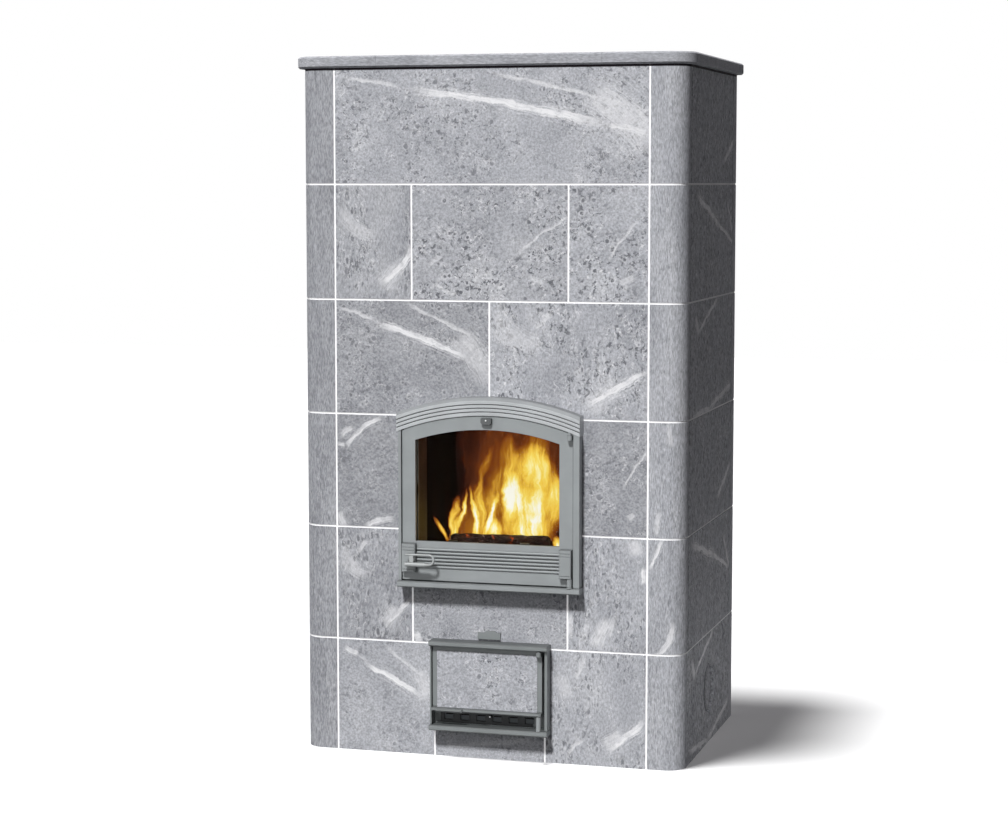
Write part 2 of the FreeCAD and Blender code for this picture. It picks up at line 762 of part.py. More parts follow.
def ash_leaf():
    """Leaf with a pocket for the stone inlay, a projecting lip and a wider finger pull."""
    plate = front_box(ash_leaf_l, ash_leaf_rt, leaf_back_p, leaf_p, ash_leaf_z, ash_leaf_top)
    pocket_p = leaf_p + inlay_proud - inlay_t
    pocket = front_box(door_x - inlay_w, door_x + inlay_w, pocket_p, leaf_p + 1, ash_lip_top, inlay_top)
    lip = front_box(ash_leaf_l, ash_leaf_rt, leaf_p, ash_lip_p, ash_leaf_z, ash_lip_top)
    lip = ease_front(lip, ash_lip_p, bar_chamfer)
    pull_x = ash_leaf_l + pull_in
    pull = front_box(pull_x, pull_x + pull_w, leaf_p, pull_p, ash_leaf_z, ash_lip_top)
    pull = ease_front(pull, pull_p, pull_chamfer)
    lug = pin_hole(ash_pin_x, ash_leaf_top - lug_h, ash_leaf_top, knuckle_r)
    web = front_box(ash_pin_x - knuckle_r, ash_pin_x + knuckle_r, leaf_p, pin_p, ash_leaf_top - lug_h, ash_leaf_top)
    leaf = fuse([plate, lip, pull, lug, web]).cut(pocket)
    upper = pin_hole(ash_pin_x, ash_leaf_top - lug_h, ash_leaf_top + 1, pin_r + pin_clear)
    lower = pin_hole(ash_pin_x, ash_leaf_z - 1, ash_lip_top, pin_r + pin_clear)
    return leaf.cut([upper, lower])


def ash_inlay():
    face_p = leaf_p + inlay_proud
    return front_box(door_x - inlay_w, door_x + inlay_w, face_p - inlay_t, face_p, ash_lip_top, inlay_top)


def ash_pins():
    """Lower pin with a shoulder that carries the leaf, and the upper pin."""
    lower = pin_hole(ash_pin_x, ash_sill_top - pin_depth / 2, ash_lip_top - 1, pin_r)
    shoulder = pin_hole(ash_pin_x, ash_sill_top, ash_leaf_z - slide_clear, knuckle_r)
    upper = pin_hole(ash_pin_x, ash_leaf_top - lug_h, ash_hood_z + ash_hood_h / 2, pin_r)
    return [fuse([lower, shoulder]), upper]


def air_shutter():
    """Slotted plate that slides over the air slots, with a small round knob."""
    near = flange_t + slide_clear
    far = near + shutter_t
    low = ash_sill_top + guide_h + slide_clear
    high = ash_leaf_z - guide_h - slide_clear
    left = ash_latch_rail_x + shutter_travel + 2 * slide_clear
    right = ash_pin_x - knuckle_r - shutter_travel - 2 * slide_clear
    plate = front_box(left, right, near, far, low, high).cut(vents(near - 1, far + 1))
    knob_z = ash_leaf_z - shutter_knob_down
    knob = front_rod(ash_frame_x, knob_z, shutter_knob_r, far, far + shutter_knob_l)
    return fuse([plate, ease_front(knob, far + shutter_knob_l, shutter_knob_edge)])


def damper_pull():
    """Rod through the stone with a flat pull plate outside that has a raised top edge."""
    x = damper_plate_w / 2
    low = damper_z - damper_plate_h / 2
    high = damper_z + damper_plate_h / 2
    foot = damper_bump_foot / 2
    crest = damper_bump_top / 2
    peak = high + damper_bump_h
    outline = [(-x, low), (x, low), (x, high), (damper_bump_x + foot, high), (damper_bump_x + crest, peak)]
    outline = outline + [(damper_bump_x - crest, peak), (damper_bump_x - foot, high), (-x, high), (-x, low)]
    wire = Part.makePolygon([FreeCAD.Vector(px, front(slide_clear), pz) for px, pz in outline])
    plate = Part.Face(wire).extrude(FreeCAD.Vector(0, slide_clear - damper_plate_t, 0))
    shaft = front_rod(0, damper_z, damper_rod_r, -damper_rod_l, slide_clear)
    stop = front_rod(0, damper_z, damper_stop_r, -damper_rod_l - damper_stop_t, -damper_rod_l)
    return fuse([plate, shaft, stop])


def ash_pit_walls():
    walls = [box(-firebox_w, firebox_w, firebox_back, core_back, base_h, hearth_z)]
    for side in (-1, 1):
        walls.append(box(side * firebox_w, side * core_w, core_front, core_back, base_h, hearth_z))
    return walls


def grate_middle():
    return (core_front + firebox_back) / 2


def grate_block(grow, z0, z1):
    x = grate_w / 2 + grow
    y = grate_d / 2 + grow
    return box(-x, x, grate_middle() - y, grate_middle() + y, z0, z1)


def hearth_floor():
    """Slab with a stepped opening in which the grate lies."""
    slab = box(-core_w, core_w, core_front, core_back, hearth_z, hearth_top)
    seat_z = hearth_top - grate_t
    return slab.cut([grate_block(slide_clear, seat_z, hearth_top), grate_block(-grate_ledge, hearth_z, seat_z)])


def fire_grate():
    grate = grate_block(0, hearth_top - grate_t, hearth_top)
    pitch = (grate_w - 2 * grate_rim) / grate_slots
    y = grate_d / 2 - grate_rim
    for slot in range(grate_slots):
        x = -grate_w / 2 + grate_rim + (slot + 0.5) * pitch
        grate = grate.cut(box(x - grate_slot_w / 2, x + grate_slot_w / 2, grate_middle() - y, grate_middle() + y,
                              hearth_z, hearth_top))
    return grate


def ash_box():
    """Open sheet steel tray with a bail handle on its front."""
    y0 = core_front
    y1 = firebox_back - ash_box_gap
    tray = box(-ash_box_w, ash_box_w, y0, y1, base_h, base_h + ash_box_h)
    inside = ash_box_w - ash_box_t
    tray = tray.cut(box(-inside, inside, y0 + ash_box_t, y1 - ash_box_t, base_h + ash_box_t, base_h + ash_box_h))
    z = base_h + ash_box_h / 2
    arms = [rod(side * bail_w, y0 + ash_box_t, z, bail_arm_r, bail_out + ash_box_t, (0, -1, 0)) for side in (-1, 1)]
    grip_w = bail_w + 2 * bail_arm_r
    grip = rod(-grip_w, y0 - bail_out, z, bail_r, 2 * grip_w, (1, 0, 0))
    return fuse([tray, grip] + arms)


def firebox_linings():
    linings = {"firebox_back_lining": box(-firebox_w, firebox_w, firebox_back, core_back, hearth_top, lining_top)}
    for side, name in ((-1, "left"), (1, "right")):
        wall = box(side * firebox_w, side * core_w, core_front, core_back, hearth_top, lining_top)
        linings["firebox_%s_lining" % name] = wall
    return linings


def throat_slab():
    slab = box(-core_w, core_w, core_front, core_back, lining_top, lining_top + throat_t)
    back = firebox_back
    slot = box(-throat_slot_w / 2, throat_slot_w / 2, back - throat_slot_d, back, lining_top, lining_top + throat_t)
    return slab.cut(slot)


def upper_core():
    """Front and back walls carry the cover, lower side walls let the gas over into the side channels."""
    low = lining_top + throat_t
    walls = [box(-core_w, core_w, core_front, core_front + core_wall, low, core_top)]
    walls.append(box(-core_w, core_w, firebox_back, core_back, low, core_top))
    for side in (-1, 1):
        walls.append(box(side * firebox_w, side * core_w, core_front + core_wall, firebox_back,
                         low, core_top - gas_gap))
    return walls


def flue_collar():
    length = stone_t + flue_out
    outer = rod(0, inner_d, flue_z, flue_r + flue_t, length, (0, 1, 0))
    return outer.cut(rod(0, inner_d, flue_z, flue_r, length, (0, 1, 0)))


os.makedirs("parts", exist_ok=True)

panels = front_panels()
for name, panel in panels.items():
    export(name, panel)

corners = {}
for side_x, side_name in ((-1, "left"), (1, "right")):
    for side_y, end_name in ((-1, "front"), (1, "back")):
        corners["corner_%s_%s" % (end_name, side_name)] = corner_stones(side_x, side_y)
for name, stones in corners.items():
    export(name, stones)

sides = {"left": side_panels(-1), "right": side_panels(1)}
for name, stones in sides.items():
    export("side_panels_" + name, stones[:-1])
    export("hatch_panel_" + name, stones[-1])
export("soot_plug_left", soot_plug(-1))
export("soot_plug_right", soot_plug(1))

backs = back_panels()
export("back_panels", backs[:-1])
export("flue_panel", backs[-1])

facing = list(panels.values()) + backs + sides["left"] + sides["right"]
for stones in corners.values():
    facing = facing + stones
export("joint_mortar", mortar(facing))
export("top_slabs", top_slabs())

export("fire_door_frame", fire_frame())
export("fire_door_hood", fire_hood())
export("fire_door_sill", fire_sill())
export("fire_door_leaf", fire_leaf())
export("window_glass", window_glass())
export("glass_gasket", glass_gasket())
export("glass_clips", glass_clips())
export("door_rope_seal", door_rope())
export("hinge_block", hinge_block())
export("handle_block", handle_block())
export("hinge_pins", fire_pins() + ash_pins())
export("fire_handle", fire_handle())
export("latch_tongue", latch_tongue())
export("wash_air_knob", wash_tab())

export("ash_door_frame", ash_frame())
export("ash_door_bars", ash_bars())
export("ash_door_leaf", ash_leaf())
export("ash_door_inlay", ash_inlay())
export("air_shutter", air_shutter())
export("damper_pull", damper_pull())

export("base_slab", box(-inner_w, inner_w, -inner_d, inner_d, 0, base_h))
export("ash_pit_walls", ash_pit_walls())
export("hearth_floor", hearth_floor())
export("fire_grate", fire_grate())
export("ash_box", ash_box())
for name, lining in firebox_linings().items():
    export(name, lining)
export("throat_slab", throat_slab())
export("upper_core", upper_core())
export("core_cover", box(-inner_w, inner_w, core_front, inner_d, core_top, core_top + cover_t))
export("flue_collar", flue_collar())
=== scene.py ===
import math
import random
from collections import namedtuple

import bmesh
import bpy
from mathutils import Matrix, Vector, noise


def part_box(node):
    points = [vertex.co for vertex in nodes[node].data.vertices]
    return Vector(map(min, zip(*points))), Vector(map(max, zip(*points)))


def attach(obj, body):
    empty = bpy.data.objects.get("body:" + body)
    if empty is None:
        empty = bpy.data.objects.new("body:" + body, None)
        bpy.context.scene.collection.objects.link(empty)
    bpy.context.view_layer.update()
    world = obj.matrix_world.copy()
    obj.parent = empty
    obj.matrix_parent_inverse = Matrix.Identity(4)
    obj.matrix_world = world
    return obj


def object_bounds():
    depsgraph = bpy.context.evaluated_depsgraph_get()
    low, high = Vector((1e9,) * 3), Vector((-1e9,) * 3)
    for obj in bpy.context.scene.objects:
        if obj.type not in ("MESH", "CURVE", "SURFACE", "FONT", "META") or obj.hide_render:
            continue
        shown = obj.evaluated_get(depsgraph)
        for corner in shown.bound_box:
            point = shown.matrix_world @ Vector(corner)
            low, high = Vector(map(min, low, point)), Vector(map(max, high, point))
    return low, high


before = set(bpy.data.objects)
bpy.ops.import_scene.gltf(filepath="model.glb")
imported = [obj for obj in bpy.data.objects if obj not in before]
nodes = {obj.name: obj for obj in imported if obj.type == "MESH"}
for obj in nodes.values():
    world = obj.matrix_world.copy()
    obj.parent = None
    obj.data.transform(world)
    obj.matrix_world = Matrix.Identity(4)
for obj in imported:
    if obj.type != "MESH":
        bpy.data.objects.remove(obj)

cad_low, cad_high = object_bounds()
front_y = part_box("course_1_front")[0].y
body_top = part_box("course_1_front")[1].z
hearth_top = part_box("hearth_floor")[1].z

# Photograph's camera, fitted to the joint lines: place in metres, turns in degrees
CAMERA_POINT = (1.7221, -6.2239, 1.5045)
CAMERA_YAW = 15.969
CAMERA_PITCH = 5.701
FOCAL_PIXELS = 2380.0
PHOTO_WIDTH = 1008.0
SENSOR = 36.0

# Light: directions towards each lamp, strengths and widths in degrees
KEY_FROM = (-0.09, -0.615, 0.783)
KEY_STRENGTH = 3.78
KEY_SOFTNESS = 8.0
FILL_FROM = (-0.52, -0.84, 0.15)
FILL_STRENGTH = 0.50
FILL_SOFTNESS = 50.0
FLOOR_FROM = (-0.167, -0.15, 0.975)
FLOOR_STRENGTH = 3.8
FLOOR_SOFTNESS = 12.0
BACK_FROM = (-0.62, 0.62, 0.45)
BACK_STRENGTH = 1.7
BACK_SOFTNESS = 20.0
SKY_STRENGTH = 0.073
SKY_TINT = (1.0, 0.94, 1.02)

# Pieces that the key light and the floor's light pass through
KEY_PASSES = ["top_slabs", "fire_door_hood", "hinge_pins"]
FLOOR_LIGHT_PASSES = ["ash_door_bars", "ash_door_frame", "ash_door_leaf", "fire_door_sill", "fire_handle"]

# Strip lamp by the floor, beside the shaded side: power, size, distance from the side, height and direction
BOUNCE_POWER = 0.65
BOUNCE_LONG = 1.2
BOUNCE_TALL = 0.2
BOUNCE_AWAY = 0.45
BOUNCE_HEIGHT = 0.12
BOUNCE_FROM = (1.0, 0.0, 0.0)

# Floor: half its width, how pale it looks, how much light it throws back, and its faint glow
FLOOR_REACH = 14.0
FLOOR_SEEN = 0.90
FLOOR_BOUNCE = 0.10
FLOOR_LIFT = 0.104

# Painted light and shade that follow the retouched photograph: the painted light (a glow) of the mortar and
# of the soot holes' wall; how far the painted shadow on a soot plug reaches back and down, its soft edge, how
# dark it gets and the plug's painted shaded rim; and the painted shadow line under the slab
MORTAR_PAINTED_LIGHT = 0.28
HOLE_PAINTED_LIGHT = 0.12
PLUG_SHADE = 0.060
PLUG_SHADE_DROP = 0.012
PLUG_SHADE_WITHIN = 0.016
PLUG_SHADE_BEYOND = 0.034
PLUG_SHADE_MOST = 0.82
PLUG_SHADED_RIM = (0.006, 0.003)
SLAB_SHADOW_LINE = (0.007, 0.005)

# Depths behind the front face: where the sooted inside of a stone begins and ends, and that of an iron piece
STONE_SOOT_START = (0.004, 0.012)
STONE_SOOT_END = (0.105, 0.110)
IRON_SOOT_START = (-0.003, 0.006)
SLOT_EDGE = 0.002

# Painted iron: reach of the painted shade in recesses, painted shade of faces that look up, and radius of
# softened edges
RECESS_SHADE_REACH = 0.006
UPWARD_PAINTED_SHADE = 0.40
EDGE_RADIUS = 0.0011

# Heights between which the linings' brown fades, and the glass's bending of light
BROWN_LOW = 0.46
BROWN_HIGH = 0.80
GLASS_IOR = 1.08

# Colours
STONE_DARK = (0.365, 0.374, 0.405)
STONE_MID = (0.470, 0.480, 0.515)
STONE_LIGHT = (0.560, 0.568, 0.600)
GRAIN_DARK = (0.165, 0.170, 0.188)
VEIN_WHITE = (0.90, 0.90, 0.92)
MORTAR_STAINED = (0.86, 0.86, 0.87)
MORTAR_CLEAN = (0.95, 0.95, 0.95)
PAINT_GREY = (0.300, 0.320, 0.326)
ASH_PAINT = (0.225, 0.243, 0.245)
# Darker copy of the stove paint, for painted shade on the wash air tab under the hood
TAB_PAINTED_SHADE = (0.115, 0.122, 0.125)
# Lighter copy of the stove paint, for painted light on the hood's bands
HOOD_PAINTED_LIGHT = (0.490, 0.512, 0.525)
# Near-black paint on the air shutter, for painted shade under the ash door's lip
SHUTTER_PAINTED_SHADE = (0.024, 0.026, 0.027)
HANDLE_PAINT = (0.43, 0.45, 0.45)
BURNT_IRON = (0.05, 0.045, 0.042)
PLAIN_STEEL = (0.30, 0.30, 0.30)
BRIGHT_STEEL = (0.80, 0.81, 0.81)
SOOT = (0.012, 0.010, 0.009)
LINING_BLACK = (0.002, 0.002, 0.002)
LINING_GREY = (0.010, 0.007, 0.006)
LINING_BROWN = (0.026, 0.010, 0.006)
GLASS_SMOKY = (0.93, 0.92, 0.90)
GLASS_CLEAR = (0.99, 0.985, 0.98)
ROPE_DARK = (0.05, 0.05, 0.05)
ROPE_PALE = (0.16, 0.155, 0.15)
CHAR_BLACK = (0.012, 0.005, 0.003)
CHAR_BROWN = (0.075, 0.028, 0.014)
EMBER_ASH = (0.03, 0.025, 0.022)
# Nearly black, for soot and for painted shadow
SOOT_AND_PAINTED_SHADOW = (0.010, 0.008, 0.010)
# Dark grey glow of the air slots: painted light
SLOT_PAINTED_LIGHT = (0.033, 0.036, 0.038)
WHITE = (1.0, 1.0, 1.0)
BLACK = (0.0, 0.0, 0.0)

# Colours of heat, from cold to hot
CRACK_GLOW = [(0.0, BLACK), (0.5, (0.7, 0.10, 0.01)), (1.0, (1.0, 0.42, 0.08))]
EMBER_GLOW = [(0.0, (0.02, 0.002, 0.0)), (0.5, (0.8, 0.14, 0.01)), (1.0, (1.0, 0.55, 0.12))]
FLAME_GLOW = [
    (0.0, (0.010, 0.003, 0.002)),
    (0.10, (0.060, 0.013, 0.006)),
    (0.24, (0.19, 0.047, 0.007)),
    (0.36, (0.34, 0.12, 0.010)),
    (0.48, (0.66, 0.34, 0.034)),
    (0.62, (0.90, 0.58, 0.070)),
    (0.76, (0.96, 0.74, 0.14)),
    (0.88, (1.0, 0.90, 0.42)),
    (1.0, (1.0, 0.99, 0.88)),
]

# Soapstone: the mottle's reach to dark and light, how far veins wander, and the fibres in them
MOTTLE_DOWN = 0.27
MOTTLE_UP = 0.24
VEIN_WANDER = 0.022
FIBRES_ALONG = 11.0
FIBRES_ACROSS = 230.0
EVEN = (1.0, 1.0, 1.0)
FRONT_GRAIN_USUAL = 0.95

# Soapstone away from the front: how the pattern is drawn out, grain, tone and contrast
CORNER_STRETCH = (1.9, 1.9, 0.42)
CORNER_GRAIN = 0.5
CORNER_TONE = 0.95
CORNER_TONE_FRONT_LEFT = 0.79
CORNER_CONTRAST = 1.3
SIDE_STRETCH = (1.2, 1.2, 0.6)
SIDE_TONE = 0.86
SIDE_CONTRAST = {"left": 1.2, "right": 2.3}
SLAB_STRETCH = (0.45, 1.7, 1.7)
SLAB_GRAIN = 0.4
SLAB_TONE = 0.88
SLAB_CONTRAST = 0.9
INLAY_GRAIN = 1.25

# Number of seeded veins on each kind of side and back piece
SIDE_VEIN_COUNT = {"side_panels_": 9, "hatch_panel_": 3, "soot_plug_": 1}
BACK_VEIN_COUNT = {"back_panels": 9, "flue_panel": 3}

# Seeds of the stones' patterns
FRONT_SEED = 100
CORNER_SEED = 200
SIDE_SEED = 300
BACK_SEED = 400
SLAB_SEED = 500
INLAY_SEED = 520
SIDE_VEIN_SEED = 60
BACK_VEIN_SEED = 80

# The fuel, the flames and the studs: sizes in metres, and numbers of rings and sides
LOG_RINGS = 36
LOG_SIDES = 28
LOG_JAG = 0.006
LOG_LOW_RADIUS = 0.032
LOG_TOP_RADIUS = 0.030
LOG_SINK = 0.012
EMBER_MIDDLE = (0.03, -0.06)
EMBER_HALF = 0.17
EMBER_RISE = 0.034
EMBER_GAP = 0.001
FLAME_GAP_LOW = 0.03
FLAME_GAP_HIGH = 0.012
TAB_STUD_RADIUS = 0.0024
TAB_STUD_RISE = 0.011
KNOB_STUD_RADIUS = 0.0022
KNOB_STUD_DROP = 0.012
STUD_SIDES = 20
# A stud's radius and rise, as shares of its radius, from the rim to the crown
STUD_PROFILE = [(1.0, 0.0), (1.0, 0.35), (0.88, 0.62), (0.6, 0.82), (0.25, 0.92)]

# A vein: middle point on the face, direction, half length, half width, strength and bow
Vein = namedtuple("Vein", "across up angle half width strength bow", defaults=(0.0,))

FRONT_VEINS = {
    "course_1_front": [
        Vein(-0.312, 1.764, -11, 0.07, 0.003, 0.60, -0.4),
        Vein(0.051, 1.704, -10, 0.25, 0.006, 1.00, -0.15),
        Vein(0.206, 1.737, -13, 0.21, 0.003, 0.60),
        Vein(0.354, 1.672, -42, 0.10, 0.027, 0.55, -1.2),
        Vein(0.364, 1.640, -10, 0.06, 0.007, 0.80, -0.4),
    ],
    "course_2_front_left": [
        Vein(-0.245, 1.282, 47, 0.06, 0.006, 0.95, 1.9),
        Vein(-0.265, 1.262, 50, 0.04, 0.014, 0.45),
        Vein(-0.370, 1.387, -37, 0.06, 0.012, 0.40, 6.0),
    ],
    "course_2_front_middle": [
        Vein(0.142, 1.376, 35, 0.08, 0.002, 0.55, -1.0),
        Vein(-0.117, 1.225, -25, 0.03, 0.002, 0.45, 6.0),
        Vein(-0.146, 1.303, 36, 0.02, 0.004, 0.40, 3.5),
        Vein(0.126, 1.254, -21, 0.02, 0.004, 0.45, 6.0),
    ],
    "course_2_front_right": [
        Vein(0.350, 1.360, 52, 0.06, 0.002, 0.50, -1.0),
        Vein(0.365, 1.255, 30, 0.02, 0.005, 0.50, 3.0),
    ],
    "course_3_front_left": [
        Vein(-0.357, 1.163, -17, 0.05, 0.003, 0.60, -0.5),
        Vein(-0.179, 1.099, -20, 0.13, 0.006, 0.95, -0.2),
        Vein(-0.124, 1.145, -25, 0.11, 0.003, 0.60, 0.1),
        Vein(-0.036, 1.056, -56, 0.07, 0.022, 0.50, -1.2),
    ],
    "course_3_front_right": [
        Vein(0.338, 0.982, 29, 0.09, 0.006, 0.95, 0.2),
        Vein(0.300, 0.960, 32, 0.05, 0.015, 0.45),
        Vein(0.061, 1.110, -35, 0.07, 0.019, 0.35, 3.0),
        Vein(0.145, 1.151, 43, 0.03, 0.004, 0.50, 1.5),
    ],
    "course_4_front_left": [
        Vein(-0.349, 0.859, 38, 0.06, 0.004, 0.90, -1.9),
        Vein(-0.391, 0.853, 37, 0.02, 0.004, 0.60, -6.0),
        Vein(-0.406, 0.818, -4, 0.01, 0.003, 0.70, -2.6),
        Vein(-0.303, 0.620, 15, 0.04, 0.006, 0.80, -3.8),
        Vein(-0.407, 0.619, -68, 0.02, 0.008, 0.60, 6.0),
    ],
    "course_4_front_right": [
        Vein(0.388, 0.784, 56, 0.06, 0.002, 0.55, -1.7),
        Vein(0.378, 0.654, 38, 0.01, 0.005, 0.50, 6.0),
    ],
    "course_5_front_left": [
        Vein(-0.249, 0.376, 44, 0.05, 0.004, 0.75, 0.8),
        Vein(-0.270, 0.365, 52, 0.03, 0.012, 0.45, 1.0),
        Vein(-0.347, 0.547, 63, 0.02, 0.004, 0.50, 2.1),
        Vein(-0.383, 0.497, -49, 0.05, 0.012, 0.40, 6.0),
    ],
    "course_5_front_middle": [Vein(-0.197, 0.315, 19, 0.01, 0.008, 0.80, -6.0)],
    "course_5_front_right": [
        Vein(0.392, 0.575, -82, 0.02, 0.011, 0.55, -6.0),
        Vein(0.410, 0.503, -86, 0.02, 0.004, 0.95, 1.0),
        Vein(0.301, 0.349, 65, 0.04, 0.010, 0.65, -0.5),
        Vein(0.262, 0.351, 68, 0.02, 0.005, 0.45, 2.8),
        Vein(0.329, 0.367, 76, 0.03, 0.005, 0.45, -0.1),
        Vein(0.215, 0.364, -90, 0.03, 0.005, 0.60, 1.5),
    ],
    "course_6_front_left": [
        Vein(-0.265, 0.196, -28, 0.08, 0.005, 1.00),
        Vein(-0.383, 0.264, -26, 0.02, 0.005, 0.75, 2.9),
        Vein(-0.349, 0.246, -33, 0.02, 0.003, 0.40, -1.4),
        Vein(-0.237, 0.247, -38, 0.06, 0.003, 0.50, 0.6),
        Vein(-0.180, 0.186, -75, 0.04, 0.012, 0.45, -4.2),
    ],
    "course_6_front_middle": [Vein(0.0, 0.04, 8.0, 0.12, 0.004, 0.3)],
    "course_6_front_right": [
        Vein(0.370, 0.080, 41, 0.06, 0.005, 1.00, 0.8),
        Vein(0.333, 0.068, 29, 0.03, 0.012, 0.60, 0.9),
        Vein(0.246, 0.256, 66, 0.03, 0.004, 0.50, 2.5),
        Vein(0.204, 0.204, -77, 0.03, 0.012, 0.35, 0.1),
        Vein(0.231, 0.047, 43, 0.03, 0.003, 0.50, -3.2),
    ],
}
CORNER_VEINS = [
    Vein(0.443, 0.560, 67, 0.04, 0.003, 0.90, -0.7),
    Vein(0.475, 0.334, 63, 0.05, 0.005, 0.75, 5.7),
    Vein(0.475, 0.867, -81, 0.03, 0.005, 0.45, 1.6),
    Vein(0.447, 0.639, 83, 0.03, 0.004, 0.50, -0.1),
]
# Veins on the right side, across its depth
SIDE_VEINS = [
    Vein(0.233, 1.593, 22, 0.081, 0.0058, 0.85),
    Vein(-0.051, 1.431, -14, 0.152, 0.0058, 1.00),
    Vein(0.190, 1.367, -15, 0.126, 0.0043, 0.95),
    Vein(0.262, 1.395, -46, 0.071, 0.0050, 0.75),
    Vein(-0.048, 1.158, 17, 0.129, 0.0043, 0.95),
    Vein(-0.196, 1.135, -40, 0.032, 0.0086, 0.75),
    Vein(0.138, 0.929, 8, 0.159, 0.0058, 0.85),
    Vein(-0.119, 0.907, 1, 0.117, 0.0050, 0.75),
    Vein(0.192, 0.690, 22, 0.096, 0.0058, 0.85),
    Vein(-0.084, 0.536, -13, 0.156, 0.0065, 1.00),
    Vein(0.151, 0.473, -17, 0.124, 0.0043, 0.95),
    Vein(0.246, 0.478, -48, 0.076, 0.0050, 0.75),
]
HATCH_VEINS = [
    Vein(-0.067, 0.259, 17, 0.126, 0.0043, 0.95),
    Vein(-0.209, 0.234, -46, 0.030, 0.0086, 0.75),
    Vein(0.138, 0.032, 9, 0.160, 0.0058, 0.85),
    Vein(-0.127, 0.019, -5, 0.126, 0.0050, 0.75),
]
# How each front stone's pattern is drawn out, where it isn't even
FRONT_STRETCH = {
    "course_2_front_left": (1.2, 1.0, 0.55),
    "course_3_front_right": (1.1, 1.0, 0.75),
    "course_5_front_left": (1.2, 1.0, 0.6),
    "course_5_front_right": (1.2, 1.0, 0.6),
    "course_6_front_right": (1.2, 1.0, 0.65),
}

# Stones that are darker than the rest
FRONT_TONE = {
    "course_2_front_left": 0.89,
    "course_2_front_middle": 0.93,
    "course_3_front_left": 0.80,
    "course_4_front_left": 0.73,
    "course_4_front_right": 0.80,
    "course_5_front_left": 0.85,
    "course_5_front_middle": 0.88,
    "course_6_front_left": 0.96,
}

# How thickly each front stone is strewn with dark grains
FRONT_GRAIN = {
    "course_2_front_middle": 1.25,
    "course_2_front_right": 1.15,
    "course_3_front_left": 0.85,
    "course_3_front_right": 1.2,
    "course_4_front_left": 0.65,
    "course_6_front_left": 0.65,
}

# A flame: middle, half width, half height, heat and lean to the right
Flame = namedtuple("Flame", "x z wide tall heat lean", defaults=(0.0,))

FRONT_FLAMES = [
    Flame(0.070, 0.660, 0.092, 0.160, 0.72),
    Flame(0.004, 0.780, 0.032, 0.080, 0.36, 0.1),
    Flame(0.073, 0.790, 0.052, 0.085, 0.38),
    Flame(0.016, 0.673, 0.030, 0.070, 0.55, 0.1),
    Flame(0.066, 0.650, 0.056, 0.050, 0.26),
    Flame(0.050, 0.580, 0.100, 0.050, 0.34),
    Flame(0.140, 0.655, 0.034, 0.085, 0.34),
    Flame(-0.146, 0.590, 0.012, 0.085, 0.58, 0.10),
    Flame(-0.128, 0.610, 0.008, 0.090, 0.60, 0.22),
    Flame(-0.088, 0.610, 0.010, 0.095, 0.60, -0.12),
    Flame(-0.072, 0.630, 0.016, 0.100, 0.34),
    Flame(-0.045, 0.610, 0.010, 0.075, 0.52, 0.32),
    Flame(-0.031, 0.575, 0.026, 0.040, 0.40),
    Flame(-0.066, 0.740, 0.012, 0.075, 0.20, 0.25),
    Flame(-0.085, 0.590, 0.085, 0.120, 0.36),
    Flame(-0.035, 0.740, 0.075, 0.130, 0.26),
    Flame(-0.020, 0.650, 0.040, 0.110, 0.24),
    Flame(0.120, 0.760, 0.050, 0.110, 0.22),
    Flame(-0.182, 0.575, 0.011, 0.042, 0.70, -0.60),
    Flame(0.142, 0.545, 0.014, 0.030, 0.95),
]
BACK_FLAMES = [
    Flame(-0.120, 0.740, 0.110, 0.220, 0.17),
    Flame(0.020, 0.740, 0.160, 0.220, 0.20),
]


